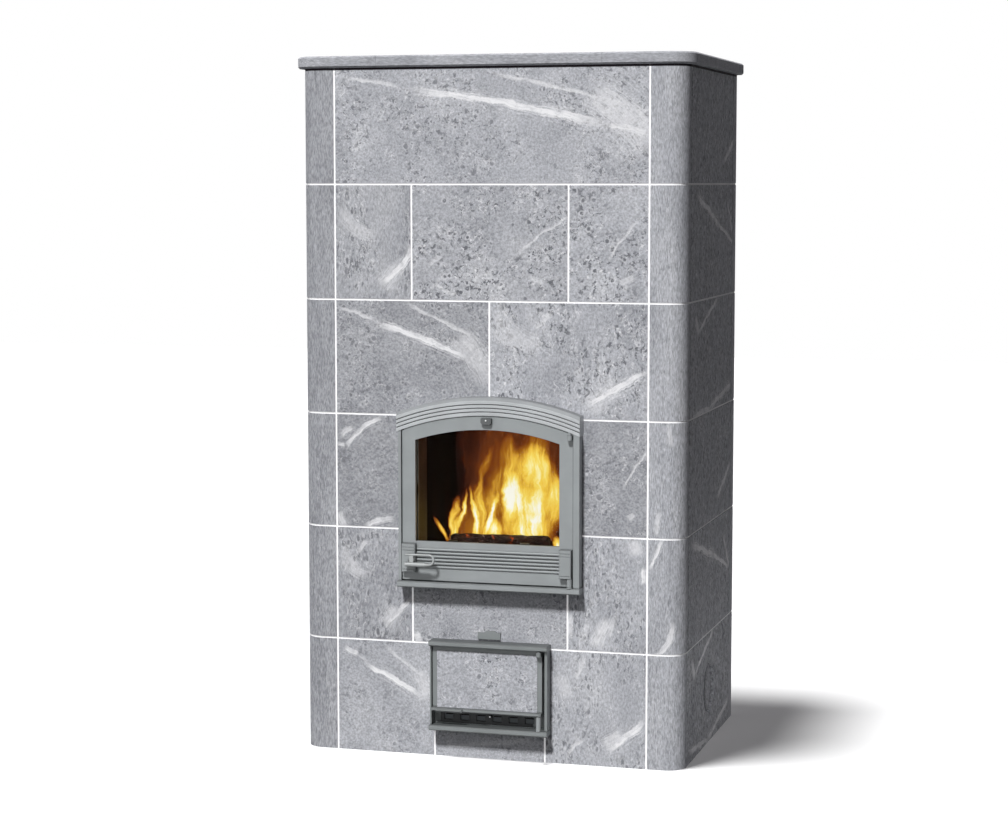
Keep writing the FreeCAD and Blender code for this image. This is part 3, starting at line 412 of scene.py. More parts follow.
class Graph:
    """A node tree with short ways to add nodes."""

    def __init__(self, tree):
        self.tree = tree

    def add(self, kind, **settings):
        node = self.tree.nodes.new(kind)
        for key, value in settings.items():
            setattr(node, key, value)
        return node

    def put(self, socket, value):
        """Links an output to a socket, or sets the socket's own value."""
        if isinstance(value, bpy.types.NodeSocket):
            self.tree.links.new(value, socket)
        elif isinstance(value, tuple) and len(value) == 3 and socket.type == "RGBA":
            socket.default_value = (*value, 1.0)
        else:
            socket.default_value = value

    def math(self, operation, first, second=0.0, clamp=False):
        node = self.add("ShaderNodeMath", operation=operation, use_clamp=clamp)
        self.put(node.inputs[0], first)
        self.put(node.inputs[1], second)
        return node.outputs[0]

    def square(self, value):
        return self.math("MULTIPLY", value, value)

    def step(self, value, low, high, out_low=0.0, out_high=1.0):
        """Smooth step of a value from low to high."""
        node = self.add("ShaderNodeMapRange", interpolation_type="SMOOTHSTEP")
        for socket, given in zip(node.inputs, (value, low, high, out_low, out_high)):
            self.put(socket, given)
        return node.outputs[0]

    def mix(self, share, first, second, blend="MIX"):
        node = self.add("ShaderNodeMix", data_type="RGBA", blend_type=blend)
        self.put(node.inputs["Factor"], share)
        self.put(node.inputs[6], first)
        self.put(node.inputs[7], second)
        return node.outputs[2]

    def place(self, scale=(1, 1, 1), turn=(0, 0, 0), move=(0, 0, 0), source=None):
        """Point in the piece's own frame, scaled, turned and moved."""
        if source is None:
            source = self.add("ShaderNodeTexCoord").outputs["Object"]
        node = self.add("ShaderNodeMapping")
        self.put(node.inputs["Vector"], source)
        node.inputs["Location"].default_value = move
        node.inputs["Rotation"].default_value = turn
        node.inputs["Scale"].default_value = scale
        return node.outputs[0]

    def noise(self, point, scale, detail=2.0, rough=0.5, warp=0.0):
        node = self.add("ShaderNodeTexNoise")
        self.put(node.inputs["Vector"], point)
        node.inputs["Scale"].default_value = scale
        node.inputs["Detail"].default_value = detail
        node.inputs["Roughness"].default_value = rough
        node.inputs["Distortion"].default_value = warp
        return node.outputs[0]

    def cells(self, point, scale):
        """Distance to the nearest cell point, and two random values of that cell."""
        node = self.add("ShaderNodeTexVoronoi")
        self.put(node.inputs["Vector"], point)
        node.inputs["Scale"].default_value = scale
        tint = self.add("ShaderNodeSeparateColor")
        self.put(tint.inputs[0], node.outputs["Color"])
        return node.outputs["Distance"], tint.outputs[0], tint.outputs[1]

    def ramp(self, value, stops):
        node = self.add("ShaderNodeValToRGB")
        self.put(node.inputs[0], value)
        bar = node.color_ramp
        while len(bar.elements) < len(stops):
            bar.elements.new(0.5)
        for element, (place, colour) in zip(bar.elements, stops):
            element.position = place
            element.color = (*colour, 1.0)
        return node.outputs[0]

    def axes(self, point):
        node = self.add("ShaderNodeSeparateXYZ")
        self.put(node.inputs[0], point)
        return node.outputs

    def facing(self):
        """The surface's normal, axis by axis."""
        return self.axes(self.add("ShaderNodeNewGeometry").outputs["Normal"])

    def bump(self, height, strength, distance, normal=None):
        node = self.add("ShaderNodeBump")
        node.inputs["Strength"].default_value = strength
        node.inputs["Distance"].default_value = distance
        self.put(node.inputs["Height"], height)
        if normal is not None:
            self.put(node.inputs["Normal"], normal)
        return node.outputs[0]


class MaterialGraph(Graph):
    """A new material with one surface shader."""

    def __init__(self, name):
        self.material = bpy.data.materials.new(name)
        self.material.use_nodes = True
        super().__init__(self.material.node_tree)
        self.tree.nodes.clear()
        output = self.add("ShaderNodeOutputMaterial")
        self.shader = self.add("ShaderNodeBsdfPrincipled")
        self.tree.links.new(self.shader.outputs[0], output.inputs[0])

    def finish(self, **sockets):
        """Fills the shader's sockets by name and gives the material."""
        for name, value in sockets.items():
            self.put(self.shader.inputs[name.replace("_", " ")], value)
        return self.material


def scaled(colour, factor):
    return tuple(min(1.0, channel * factor) for channel in colour)


def vein_mask(graph, across, up, wander, broken, vein):
    """Feathery white streak along a bowed line on a stone face."""
    angle = math.radians(vein.angle)
    from_x = graph.math("SUBTRACT", across, vein.across)
    from_z = graph.math("SUBTRACT", up, vein.up)
    along = graph.math("ADD", graph.math("MULTIPLY", from_x, math.cos(angle)),
                       graph.math("MULTIPLY", from_z, math.sin(angle)))
    side = graph.math("SUBTRACT", graph.math("MULTIPLY", from_z, math.cos(angle)),
                      graph.math("MULTIPLY", from_x, math.sin(angle)))
    bow = graph.math("MULTIPLY", graph.square(along), vein.bow)
    side = graph.math("ADD", graph.math("SUBTRACT", side, bow), wander)
    ends = graph.step(graph.math("ABSOLUTE", along), vein.half * 0.6, vein.half * 1.25, 1.0, 0.0)
    combine = graph.add("ShaderNodeCombineXYZ")
    graph.put(combine.inputs[0], graph.math("MULTIPLY", along, FIBRES_ALONG))
    graph.put(combine.inputs[1], graph.math("MULTIPLY", side, FIBRES_ACROSS))
    streak = graph.math("SUBTRACT", graph.noise(combine.outputs[0], 1.0, 4.0, 0.65), 0.5)
    spread = graph.math("DIVIDE", side, vein.width * 2.2)
    bell = graph.math("EXPONENT", graph.math("MULTIPLY", graph.square(spread), -1.0))
    fibres = graph.math("ADD", graph.math("MULTIPLY", bell, 0.80), graph.math("MULTIPLY", streak, 1.9))
    core = graph.step(fibres, 0.24, 0.82)
    wide = graph.step(graph.math("ABSOLUTE", side), vein.width * 1.5, vein.width * 6.0, 0.5, 0.0)
    cover = graph.math("MAXIMUM", core, graph.math("MULTIPLY", wide, graph.step(streak, -0.04, 0.16)))
    mask = graph.math("MULTIPLY", graph.math("MULTIPLY", cover, ends), broken)
    return graph.math("MULTIPLY", mask, vein.strength)


def behind_face(graph, axes):
    """One on the faces inside the front wall, which soot has blackened."""
    start = graph.step(axes[1], front_y + STONE_SOOT_START[0], front_y + STONE_SOOT_START[1])
    end = graph.step(axes[1], front_y + STONE_SOOT_END[0], front_y + STONE_SOOT_END[1], 1.0, 0.0)
    return graph.math("MULTIPLY", start, end)


def painted_slab_shadow(graph, axes):
    """One on the painted shadow line where the stones meet the top slab."""
    return graph.step(axes[2], body_top - SLAB_SHADOW_LINE[0], body_top - SLAB_SHADOW_LINE[1])


def circle_distance(graph, axes, middle_y, middle_z):
    """Distance on a side face from a given middle."""
    along = graph.math("SUBTRACT", axes[1], middle_y)
    up = graph.math("SUBTRACT", axes[2], middle_z)
    return graph.math("SQRT", graph.math("ADD", graph.square(along), graph.square(up)))


def plug_shade(name):
    """Mask for a painted shadow like the one the hole's front edge throws on its sunk plug, and for a painted
    shaded rim at the joint round it.
    """
    low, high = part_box(name)
    middle_y, middle_z = (low.y + high.y) / 2, (low.z + high.z) / 2
    radius = (high.y - low.y) / 2

    def mask(graph, axes):
        # Painted shadow from the hole's front edge, and a painted shaded rim at the joint
        from_light = circle_distance(graph, axes, middle_y + PLUG_SHADE, middle_z - PLUG_SHADE_DROP)
        shade = graph.step(from_light, radius - PLUG_SHADE_WITHIN, radius + PLUG_SHADE_BEYOND,
                           0.0, PLUG_SHADE_MOST)
        from_middle = circle_distance(graph, axes, middle_y, middle_z)
        rim = graph.step(from_middle, radius - PLUG_SHADED_RIM[0], radius - PLUG_SHADED_RIM[1], 0.0, PLUG_SHADE_MOST)
        on_face = graph.step(graph.math("ABSOLUTE", graph.facing()[0]), 0.5, 0.8)
        return graph.math("MULTIPLY", graph.math("MAXIMUM", shade, rim), on_face)

    return mask


def stone_ground(graph, point, tone, contrast):
    """Colour of the clouded and finely mottled grey stone, with the clouds and the mottle themselves."""
    clouds = graph.noise(point, 6.0, 5.0, 0.6, 0.6)
    mottle = graph.noise(point, 180.0, 3.0, 0.65)
    colour = graph.ramp(clouds, [(0.28, STONE_DARK), (0.5, STONE_MID), (0.74, STONE_LIGHT)])
    low, high = tone * (1.0 - MOTTLE_DOWN * contrast), tone * (1.0 + MOTTLE_UP * contrast)
    colour = graph.mix(1.0, colour, graph.step(mottle, 0.28, 0.72, low, high), "MULTIPLY")
    return colour, clouds, mottle


def stone_grains(graph, point, scale, radius, least):
    """Dark grains of mixed size in the chosen cells, and the pale rims about them."""
    distance, chance, size = graph.cells(point, scale)
    wobble = graph.math("SUBTRACT", graph.noise(point, scale * 1.7, 2.0), 0.5)
    ragged = graph.math("ADD", distance, graph.math("MULTIPLY", wobble, 0.5))
    ragged = graph.math("DIVIDE", ragged, graph.math("ADD", graph.math("MULTIPLY", size, 0.8), 0.5))
    picked = graph.step(chance, least, least + 0.12)
    dark = graph.math("MULTIPLY", graph.step(ragged, radius * 0.6, radius * 1.15, 1.0, 0.0), picked)
    ring = graph.math("MULTIPLY", graph.step(ragged, radius * 0.9, radius * 1.3),
                      graph.step(ragged, radius * 1.4, radius * 2.1, 1.0, 0.0))
    return dark, graph.math("MULTIPLY", ring, picked)


def stone_specks(graph, point, colour, grain):
    """Colour with dark blots and grains in patches, pale rims and flecks, and the mask of what is dark."""
    patches = graph.step(graph.noise(point, 9.0, 3.0, 0.55), 0.40, 0.56, 0.18, 1.0)
    blots = graph.step(graph.noise(point, 78.0, 4.0, 0.66, 0.5), 0.535, 0.61)
    elsewhere = graph.place(move=(3.0, 5.0, 7.0), source=point)
    flecks = graph.step(graph.noise(elsewhere, 105.0, 4.0, 0.68, 0.8), 0.56, 0.68)
    small, small_rim = stone_grains(graph, point, 62.0, 0.26, 0.55)
    large, large_rim = stone_grains(graph, point, 30.0, 0.20, 0.78)
    dark = graph.math("MAXIMUM", graph.math("MULTIPLY", blots, 0.82), graph.math("MULTIPLY", small, 0.85))
    dark = graph.math("MAXIMUM", graph.math("MULTIPLY", dark, patches), graph.math("MULTIPLY", large, 0.6))
    colour = graph.mix(graph.math("MULTIPLY", dark, grain, clamp=True), colour, GRAIN_DARK)
    rims = graph.math("MULTIPLY", graph.math("MAXIMUM", small_rim, large_rim), 0.4)
    rims = graph.math("MULTIPLY", graph.math("MAXIMUM", rims, flecks), patches)
    return graph.mix(graph.math("MULTIPLY", rims, 0.58 * grain), colour, VEIN_WHITE), dark


def stone_threads(graph, point, colour, grain):
    """Colour with thin pale threads that come and go."""
    ridge = graph.math("ABSOLUTE", graph.math("SUBTRACT", graph.noise(point, 48.0, 3.0, 0.6, 0.8), 0.5))
    threads = graph.math("MULTIPLY", graph.step(ridge, 0.0, 0.022, 1.0, 0.0),
                         graph.step(graph.noise(point, 15.0, 2.0), 0.50, 0.64))
    return graph.mix(graph.math("MULTIPLY", threads, 0.5 * grain), colour, VEIN_WHITE)


def stone_veins(graph, point, colour, veins, on_side):
    """Colour with the given veins, which lie across the depth on a side and across the width elsewhere."""
    axes = graph.axes(point)
    across = axes[1] if on_side else axes[0]
    wander = graph.math("SUBTRACT", graph.noise(point, 22.0, 4.0, 0.6), 0.5)
    wander = graph.math("MULTIPLY", wander, VEIN_WANDER)
    broken = graph.step(graph.noise(point, 40.0, 3.0, 0.65), 0.30, 0.52, 0.62, 1.0)
    mask = 0.0
    for vein in veins:
        mask = graph.math("MAXIMUM", mask, vein_mask(graph, across, axes[2], wander, broken, vein))
    return graph.mix(mask, colour, VEIN_WHITE)


def soapstone(name, veins, seed, stretch=EVEN, on_side=False, grain=1.0, tone=1.0, contrast=1.0,
              marks=(), hole_painted_light=0.0):
    """Honed soapstone: clouded grey, dark grains in patches, pale threads and feathery veins.

    Each of the marks gives a mask for what is nearly black: soot, or painted shadow. With the hole's
    painted light, the faces that don't look sideways glow faintly.
    """
    graph = MaterialGraph(name)
    draw = random.Random(seed)
    offset = (draw.uniform(-9, 9), draw.uniform(-9, 9), draw.uniform(-9, 9))
    still = graph.place()
    point = graph.place(scale=stretch, move=offset)
    colour, clouds, mottle = stone_ground(graph, point, tone, contrast)
    colour, dark = stone_specks(graph, point, colour, grain)
    colour = stone_threads(graph, point, colour, grain)
    colour = stone_veins(graph, still, colour, veins, on_side)
    axes = graph.axes(still)
    # Each mark paints soot or painted shadow, nearly black
    for mark in marks:
        colour = graph.mix(mark(graph, axes), colour, SOOT_AND_PAINTED_SHADOW)
    # Painted light: the hole's wall, which doesn't face sideways, glows faintly
    if hole_painted_light:
        wall = graph.step(graph.math("ABSOLUTE", graph.facing()[0]), 0.3, 0.6, hole_painted_light, 0.0)
        graph.finish(Emission_Color=STONE_MID, Emission_Strength=wall)
    relief = graph.bump(graph.math("SUBTRACT", mottle, dark), 0.3, 0.0008)
    rough = graph.step(clouds, 0.3, 0.7, 0.55, 0.68)
    return graph.finish(Base_Color=colour, Roughness=rough, Specular_IOR_Level=0.01, Normal=relief)


def random_veins(seed, low, high, count, on_side):
    """Seeded veins spread over a face that has no photographed ones."""
    draw = random.Random(seed)
    axis = 1 if on_side else 0
    veins = []
    for _ in range(count):
        across = draw.uniform(low[axis], high[axis])
        up = draw.uniform(low[2], high[2])
        angle = draw.choice((-1, 1)) * draw.uniform(15, 60)
        veins.append(Vein(across, up, angle, draw.uniform(0.07, 0.2), draw.uniform(0.003, 0.009),
                          draw.uniform(0.35, 0.8), draw.uniform(-0.4, 0.4)))
    return veins


def mortar():
    """White mortar, gritty and faintly stained, with painted light: it glows a little where it faces the
    front.
    """
    graph = MaterialGraph("white_mortar")
    point = graph.place()
    grit = graph.noise(point, 420.0, 2.0, 0.7)
    stain = graph.noise(point, 12.0, 3.0)
    colour = graph.ramp(stain, [(0.3, MORTAR_STAINED), (0.7, MORTAR_CLEAN)])
    # Painted shadow line under the slab
    gap = painted_slab_shadow(graph, graph.axes(point))
    colour = graph.mix(gap, colour, SOOT_AND_PAINTED_SHADOW)
    # Painted light: the mortar glows a little where it faces the front, but not on the painted shadow line
    lift = graph.step(graph.facing()[1], -0.9, -0.5, MORTAR_PAINTED_LIGHT, 0.0)
    lift = graph.math("MULTIPLY", lift, graph.math("SUBTRACT", 1.0, gap))
    return graph.finish(Base_Color=colour, Roughness=0.9, Normal=graph.bump(grit, 0.3, 0.0006),
                        Emission_Color=WHITE, Emission_Strength=lift)


def painted_iron(name, colour, rough, worn=0.12, slot_top=None):
    """Satin stove paint on cast iron: casting texture, softened edges, painted shade in recesses and on faces
    that look up, and a sooted inside.

    Below slot_top the inside glows a dark grey, as painted light, for the air slots.
    """
    graph = MaterialGraph(name)
    point = graph.place()
    axes = graph.axes(point)
    cast = graph.noise(point, 600.0, 2.0, 0.6)
    cloud = graph.noise(point, 14.0, 3.0, 0.55)
    shade = graph.ramp(cloud, [(0.3, scaled(colour, 0.93)), (0.7, scaled(colour, 1.07))])
    rubbed = graph.math("MULTIPLY", graph.step(graph.noise(point, 90.0, 4.0, 0.7), 0.60, 0.78), worn)
    shade = graph.mix(rubbed, shade, scaled(colour, 1.5))
    # Painted shade: darker in recesses, and on faces that look up
    recess = graph.add("ShaderNodeAmbientOcclusion", samples=6)
    recess.inputs["Distance"].default_value = RECESS_SHADE_REACH
    recess_painted_shade = graph.step(recess.outputs["AO"], 0.35, 0.85, 0.25, 1.0)
    shade = graph.mix(1.0, shade, recess_painted_shade, "MULTIPLY")
    upward_painted_shade = graph.step(graph.facing()[2], 0.25, 0.85, 1.0, UPWARD_PAINTED_SHADE)
    shade = graph.mix(1.0, shade, upward_painted_shade, "MULTIPLY")
    inside = graph.step(axes[1], front_y + IRON_SOOT_START[0], front_y + IRON_SOOT_START[1])
    shade = graph.mix(inside, shade, SOOT)
    # Painted light: below slot_top the sooted inside glows a dark grey, over the air slots
    if slot_top is not None:
        below = graph.step(axes[2], slot_top - SLOT_EDGE, slot_top + SLOT_EDGE, 1.0, 0.0)
        graph.finish(Emission_Color=SLOT_PAINTED_LIGHT, Emission_Strength=graph.math("MULTIPLY", below, inside))
    edge = graph.add("ShaderNodeBevel", samples=4)
    edge.inputs["Radius"].default_value = EDGE_RADIUS
    relief = graph.bump(cast, 0.12, 0.0003, edge.outputs[0])
    gloss = graph.step(cloud, 0.3, 0.7, rough - 0.05, rough + 0.06)
    return graph.finish(Base_Color=shade, Roughness=gloss, Metallic=0.1, Specular_IOR_Level=0.35,
                        Normal=relief)


def steel(name, colour, rough):
    """Plain steel with fine drawn lines."""
    graph = MaterialGraph(name)
    lines = graph.noise(graph.place(scale=(40.0, 900.0, 900.0)), 1.0, 2.0)
    shade = graph.ramp(lines, [(0.3, scaled(colour, 0.85)), (0.7, colour)])
    gloss = graph.step(lines, 0.3, 0.7, rough - 0.06, rough + 0.06)
    return graph.finish(Base_Color=shade, Roughness=gloss, Metallic=0.9)


def sooted_stone():
    """Firebox stone: black with soot, faintly brown in upright bands near the hearth."""
    graph = MaterialGraph("sooted_stone")
    point = graph.place()
    up = graph.axes(point)[2]
    cloud = graph.noise(point, 9.0, 5.0, 0.65)
    streak = graph.noise(graph.place(scale=(24.0, 24.0, 2.0)), 1.0, 3.0)
    shade = graph.ramp(cloud, [(0.3, LINING_BLACK), (0.7, LINING_GREY)])
    near_hearth = graph.step(up, BROWN_LOW, BROWN_HIGH, 0.8, 0.1)
    warm = graph.math("MULTIPLY", near_hearth, graph.step(streak, 0.40, 0.7))
    shade = graph.mix(warm, shade, LINING_BROWN)
    return graph.finish(Base_Color=shade, Roughness=0.95, Specular_IOR_Level=0.1,
                        Normal=graph.bump(cloud, 0.6, 0.004))


def stove_glass():
    """Clear ceramic glass with a faint smoky film."""
    graph = MaterialGraph("stove_glass")
    film = graph.noise(graph.place(), 7.0, 4.0, 0.6)
    tint = graph.ramp(film, [(0.35, GLASS_SMOKY), (0.75, GLASS_CLEAR)])
    return graph.finish(Base_Color=tint, Transmission_Weight=1.0, IOR=GLASS_IOR, Roughness=0.0)


def fibre_rope():
    """Woven grey sealing rope."""
    graph = MaterialGraph("fibre_rope")
    point = graph.place(turn=(0.5, 0.5, 0.5))
    weave = graph.add("ShaderNodeTexWave", wave_type="BANDS")
    graph.put(weave.inputs["Vector"], point)
    weave.inputs["Scale"].default_value = 160.0
    weave.inputs["Distortion"].default_value = 2.0
    shade = graph.ramp(weave.outputs[1], [(0.2, ROPE_DARK), (0.8, ROPE_PALE)])
    return graph.finish(Base_Color=shade, Roughness=0.95, Normal=graph.bump(weave.outputs[1], 0.6, 0.001))


def set_material(names, material):
    """Gives nodes of the frame a material in all their slots."""
    for name in names:
        for material_slot in nodes[name].material_slots:
            material_slot.material = material


def dress_front():
    """Front stones, each with its own veins, tone and grain."""
    for number, (name, veins) in enumerate(FRONT_VEINS.items()):
        stone = soapstone(name + "_stone", veins, FRONT_SEED + number, FRONT_STRETCH.get(name, EVEN),
                          grain=FRONT_GRAIN.get(name, FRONT_GRAIN_USUAL), tone=FRONT_TONE.get(name, 1.0),
                          marks=(behind_face, painted_slab_shadow))
        set_material([name], stone)


def dress_corners():
    """Rounded corner stones, with a fine upright grain."""
    for number, name in enumerate(("corner_front_left", "corner_front_right",
                                   "corner_back_left", "corner_back_right")):
        veins = CORNER_VEINS if name == "corner_front_right" else []
        tone = CORNER_TONE_FRONT_LEFT if name == "corner_front_left" else CORNER_TONE
        stone = soapstone(name + "_stone", veins, CORNER_SEED + number, CORNER_STRETCH, grain=CORNER_GRAIN,
                          tone=tone, contrast=CORNER_CONTRAST, marks=(painted_slab_shadow,))
        set_material([name], stone)


def dress_sides():
    """Side stones and soot plugs: veins after the photograph on the right, seeded ones on the left."""
    for number, side in enumerate(("left", "right")):
        for kind, count in SIDE_VEIN_COUNT.items():
            name = kind + side
            if side == "right":
                veins = SIDE_VEINS if kind == "side_panels_" else HATCH_VEINS
            else:
                low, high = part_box(name)
                veins = random_veins(SIDE_VEIN_SEED + number + 3 * count, low, high, count, True)
            stone = soapstone(name + "_stone", veins, SIDE_SEED + number + 7 * count, SIDE_STRETCH, True,
                              tone=SIDE_TONE, contrast=SIDE_CONTRAST[side],
                              marks=(plug_shade(name),) if kind == "soot_plug_" else (painted_slab_shadow,),
                              hole_painted_light=HOLE_PAINTED_LIGHT if kind == "hatch_panel_" else 0.0)
            set_material([name], stone)


def dress_back():
    """Back stones, with seeded veins."""
    for number, (name, count) in enumerate(BACK_VEIN_COUNT.items()):
        low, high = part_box(name)
        veins = random_veins(BACK_VEIN_SEED + number, low, high, count, False)
        set_material([name], soapstone(name + "_stone", veins, BACK_SEED + number))


def dress_other_stone():
    """Top slab, the ash door's inlay, mortar and the sooted core."""
    slab = soapstone("slab_stone", [], SLAB_SEED, SLAB_STRETCH, grain=SLAB_GRAIN, tone=SLAB_TONE,
                     contrast=SLAB_CONTRAST)
    set_material(["top_slabs"], slab)
    set_material(["ash_door_inlay"], soapstone("inlay_stone", [], INLAY_SEED, grain=INLAY_GRAIN))
    set_material(["joint_mortar"], mortar())
    set_material(["base_slab", "ash_pit_walls", "hearth_floor", "firebox_back_lining", "firebox_left_lining",
                  "firebox_right_lining", "throat_slab", "upper_core", "core_cover"], sooted_stone())


def dress_metal():
    """Painted iron, steel, glass and gaskets."""
    set_material(["fire_door_frame", "fire_door_sill", "fire_door_leaf", "hinge_block", "handle_block",
                  "hinge_pins"], painted_iron("stove_paint", PAINT_GREY, 0.45))
    # The hood's lighter paint is painted light
    set_material(["fire_door_hood"], painted_iron("hood_painted_light", HOOD_PAINTED_LIGHT, 0.45))
    set_material(["ash_door_bars", "ash_door_leaf", "damper_pull"],
                 painted_iron("ash_paint", ASH_PAINT, 0.48))
    set_material(["ash_door_frame"], painted_iron("ash_frame_paint", ASH_PAINT, 0.48,
                                                  slot_top=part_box("ash_door_leaf")[0].z))
    # The tab's darker paint is painted shade
    set_material(["wash_air_knob"], painted_iron("tab_painted_shade", TAB_PAINTED_SHADE, 0.5, 0.05))
    # The shutter's near-black paint is painted shade
    set_material(["air_shutter"], painted_iron("shutter_painted_shade", SHUTTER_PAINTED_SHADE, 0.55, 0.04))
    set_material(["fire_handle"], painted_iron("handle_paint", HANDLE_PAINT, 0.36, 0.05))
    set_material(["latch_tongue", "glass_clips", "flue_collar", "ash_box"],
                 steel("plain_steel", PLAIN_STEEL, 0.42))
    set_material(["fire_grate"], painted_iron("burnt_iron", BURNT_IRON, 0.8, 0.2))
    set_material(["window_glass"], stove_glass())
    set_material(["glass_gasket", "door_rope_seal"], fibre_rope())


def to_mesh(name, shape):
    """Blender mesh made from a bmesh, which is freed."""
    mesh = bpy.data.meshes.new(name)
    shape.to_mesh(mesh)
    shape.free()
    return mesh


def close_rings(shape, rings):
    """Joins rings of vertices with smooth faces, caps both ends and turns all the faces outwards."""
    for one, two in zip(rings, rings[1:]):
        for side in range(len(one)):
            after = (side + 1) % len(one)
            face = shape.faces.new((one[side], two[side], two[after], one[after]))
            face.smooth = True
    shape.faces.new(rings[0])
    shape.faces.new(list(reversed(rings[-1])))
    bmesh.ops.recalc_face_normals(shape, faces=shape.faces)


def new_piece(name, mesh, material, body):
    """Adds a piece of the scene's own to a body of the frame."""
    piece = bpy.data.objects.new(name, mesh)
    bpy.context.collection.objects.link(piece)
    piece.data.materials.append(material)
    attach(piece, body)
    return piece


def charred_wood():
    """Burnt log: black crazed char with glowing cracks."""
    graph = MaterialGraph("charred_wood")
    point = graph.place(scale=(0.45, 1.0, 1.0))
    node = graph.add("ShaderNodeTexVoronoi", feature="DISTANCE_TO_EDGE")
    graph.put(node.inputs["Vector"], point)
    node.inputs["Scale"].default_value = 120.0
    crack = graph.step(node.outputs["Distance"], 0.0, 0.10, 1.0, 0.0)
    patch = graph.step(graph.noise(graph.place(), 30.0, 3.0), 0.64, 0.78)
    heat = graph.math("MULTIPLY", crack, patch)
    ash = graph.noise(point, 120.0, 3.0, 0.7)
    shade = graph.ramp(ash, [(0.3, CHAR_BLACK), (0.75, CHAR_BROWN)])
    return graph.finish(Base_Color=shade, Roughness=0.9, Emission_Color=graph.ramp(heat, CRACK_GLOW),
                        Emission_Strength=1.2, Normal=graph.bump(node.outputs["Distance"], 0.9, 0.006))


def embers():
    """Glowing embers between ash."""
    graph = MaterialGraph("embers")
    point = graph.place()
    distance, chance, _ = graph.cells(point, 70.0)
    heat = graph.math("MULTIPLY", graph.step(distance, 0.1, 0.6, 1.0, 0.0), graph.step(chance, 0.35, 0.8))
    return graph.finish(Base_Color=EMBER_ASH, Roughness=0.95, Emission_Color=graph.ramp(heat, EMBER_GLOW),
                        Emission_Strength=2.5, Normal=graph.bump(distance, 0.8, 0.006))


def log_radius(radius, length, share, angle, seed):
    """Radius at one place on a split log: a flat flank, bumpy bark and nipped ends."""
    flat = 1.0 - 0.22 * max(0.0, math.cos(angle - 0.9)) ** 2
    probe = Vector((share * length * 18, math.cos(angle) * 2.0, math.sin(angle) * 2.0 + seed))
    bumpy = 1.0 + 0.16 * noise.noise(probe) + 0.07 * noise.noise(probe * 3.1)
    nip = 1.0 - 0.25 * max(0.0, abs(share - 0.5) * 2 - 0.94) / 0.06
    return radius * flat * bumpy * nip


def log_mesh(name, start, end, radius, seed):
    """Split log between two points, with rough ends."""
    axis = end - start
    length = axis.length
    turn = axis.to_track_quat("X", "Z").to_matrix()
    shape = bmesh.new()
    rings = []
    for number in range(LOG_RINGS + 1):
        share = number / LOG_RINGS
        ring = []
        for side in range(LOG_SIDES):
            angle = 2 * math.pi * side / LOG_SIDES
            reach = log_radius(radius, length, share, angle, seed)
            jag = 0.0
            if number in (0, LOG_RINGS):
                jag = LOG_JAG * noise.noise(Vector((angle * 1.5, seed, share)))
            local = Vector((share * length + jag, reach * math.cos(angle), reach * math.sin(angle)))
            ring.append(shape.verts.new(start + turn @ local))
        rings.append(ring)
    close_rings(shape, rings)
    return to_mesh(name, shape)


def build_logs():
    """Two logs along the hearth and two across them."""
    wood = charred_wood()
    low_z = hearth_top + LOG_LOW_RADIUS
    top_z = hearth_top + 2 * LOG_LOW_RADIUS + LOG_TOP_RADIUS - LOG_SINK
    places = [
        ("log_lower_left", (-0.11, -0.25, low_z), (-0.05, 0.07, low_z), LOG_LOW_RADIUS, 3.0),
        ("log_lower_right", (0.10, -0.25, low_z), (0.09, 0.08, low_z), LOG_LOW_RADIUS, 8.0),
        ("log_top", (-0.137, -0.233, top_z + 0.008), (0.133, -0.228, top_z + 0.010), LOG_TOP_RADIUS, 14.0),
        ("log_back", (-0.10, -0.02, top_z), (0.18, -0.05, top_z), LOG_TOP_RADIUS, 21.0),
    ]
    for name, start, end, radius, seed in places:
        mesh = log_mesh(name, Vector(start), Vector(end), radius, seed)
        new_piece(name, mesh, wood, "root")


def build_embers():
    """Bed of embers heaped on the hearth."""
    bed = bmesh.new()
    bmesh.ops.create_grid(bed, x_segments=40, y_segments=36, size=1.0)
    for vert in bed.verts:
        x, y = vert.co.x, vert.co.y
        edge = max(abs(x), abs(y))
        rise = EMBER_RISE * max(0.0, 1.0 - edge ** 3) * (0.7 + 0.6 * noise.noise(Vector((x * 6, y * 6, 2.0))))
        vert.co = Vector((EMBER_MIDDLE[0] + EMBER_HALF * x, EMBER_MIDDLE[1] + EMBER_HALF * y,
                          hearth_top + EMBER_GAP + max(0.0, rise)))
    new_piece("ember_bed", to_mesh("ember_bed", bed), embers(), "root")


def flame_envelope(graph, x, z, flames):
    """Sum of round-shouldered flames, each strongest at its middle."""
    total = 0.0
    for flame in flames:
        rise = graph.math("SUBTRACT", z, flame.z)
        middle = graph.math("ADD", graph.math("MULTIPLY", rise, flame.lean), flame.x)
        shift = graph.math("SUBTRACT", x, middle)
        wide = graph.square(graph.math("DIVIDE", shift, flame.wide))
        tall = graph.square(graph.math("DIVIDE", rise, flame.tall))
        body = graph.math("SUBTRACT", 1.0, graph.math("ADD", wide, tall), clamp=True)
        total = graph.math("ADD", total, graph.math("MULTIPLY", body, flame.heat))
    return total


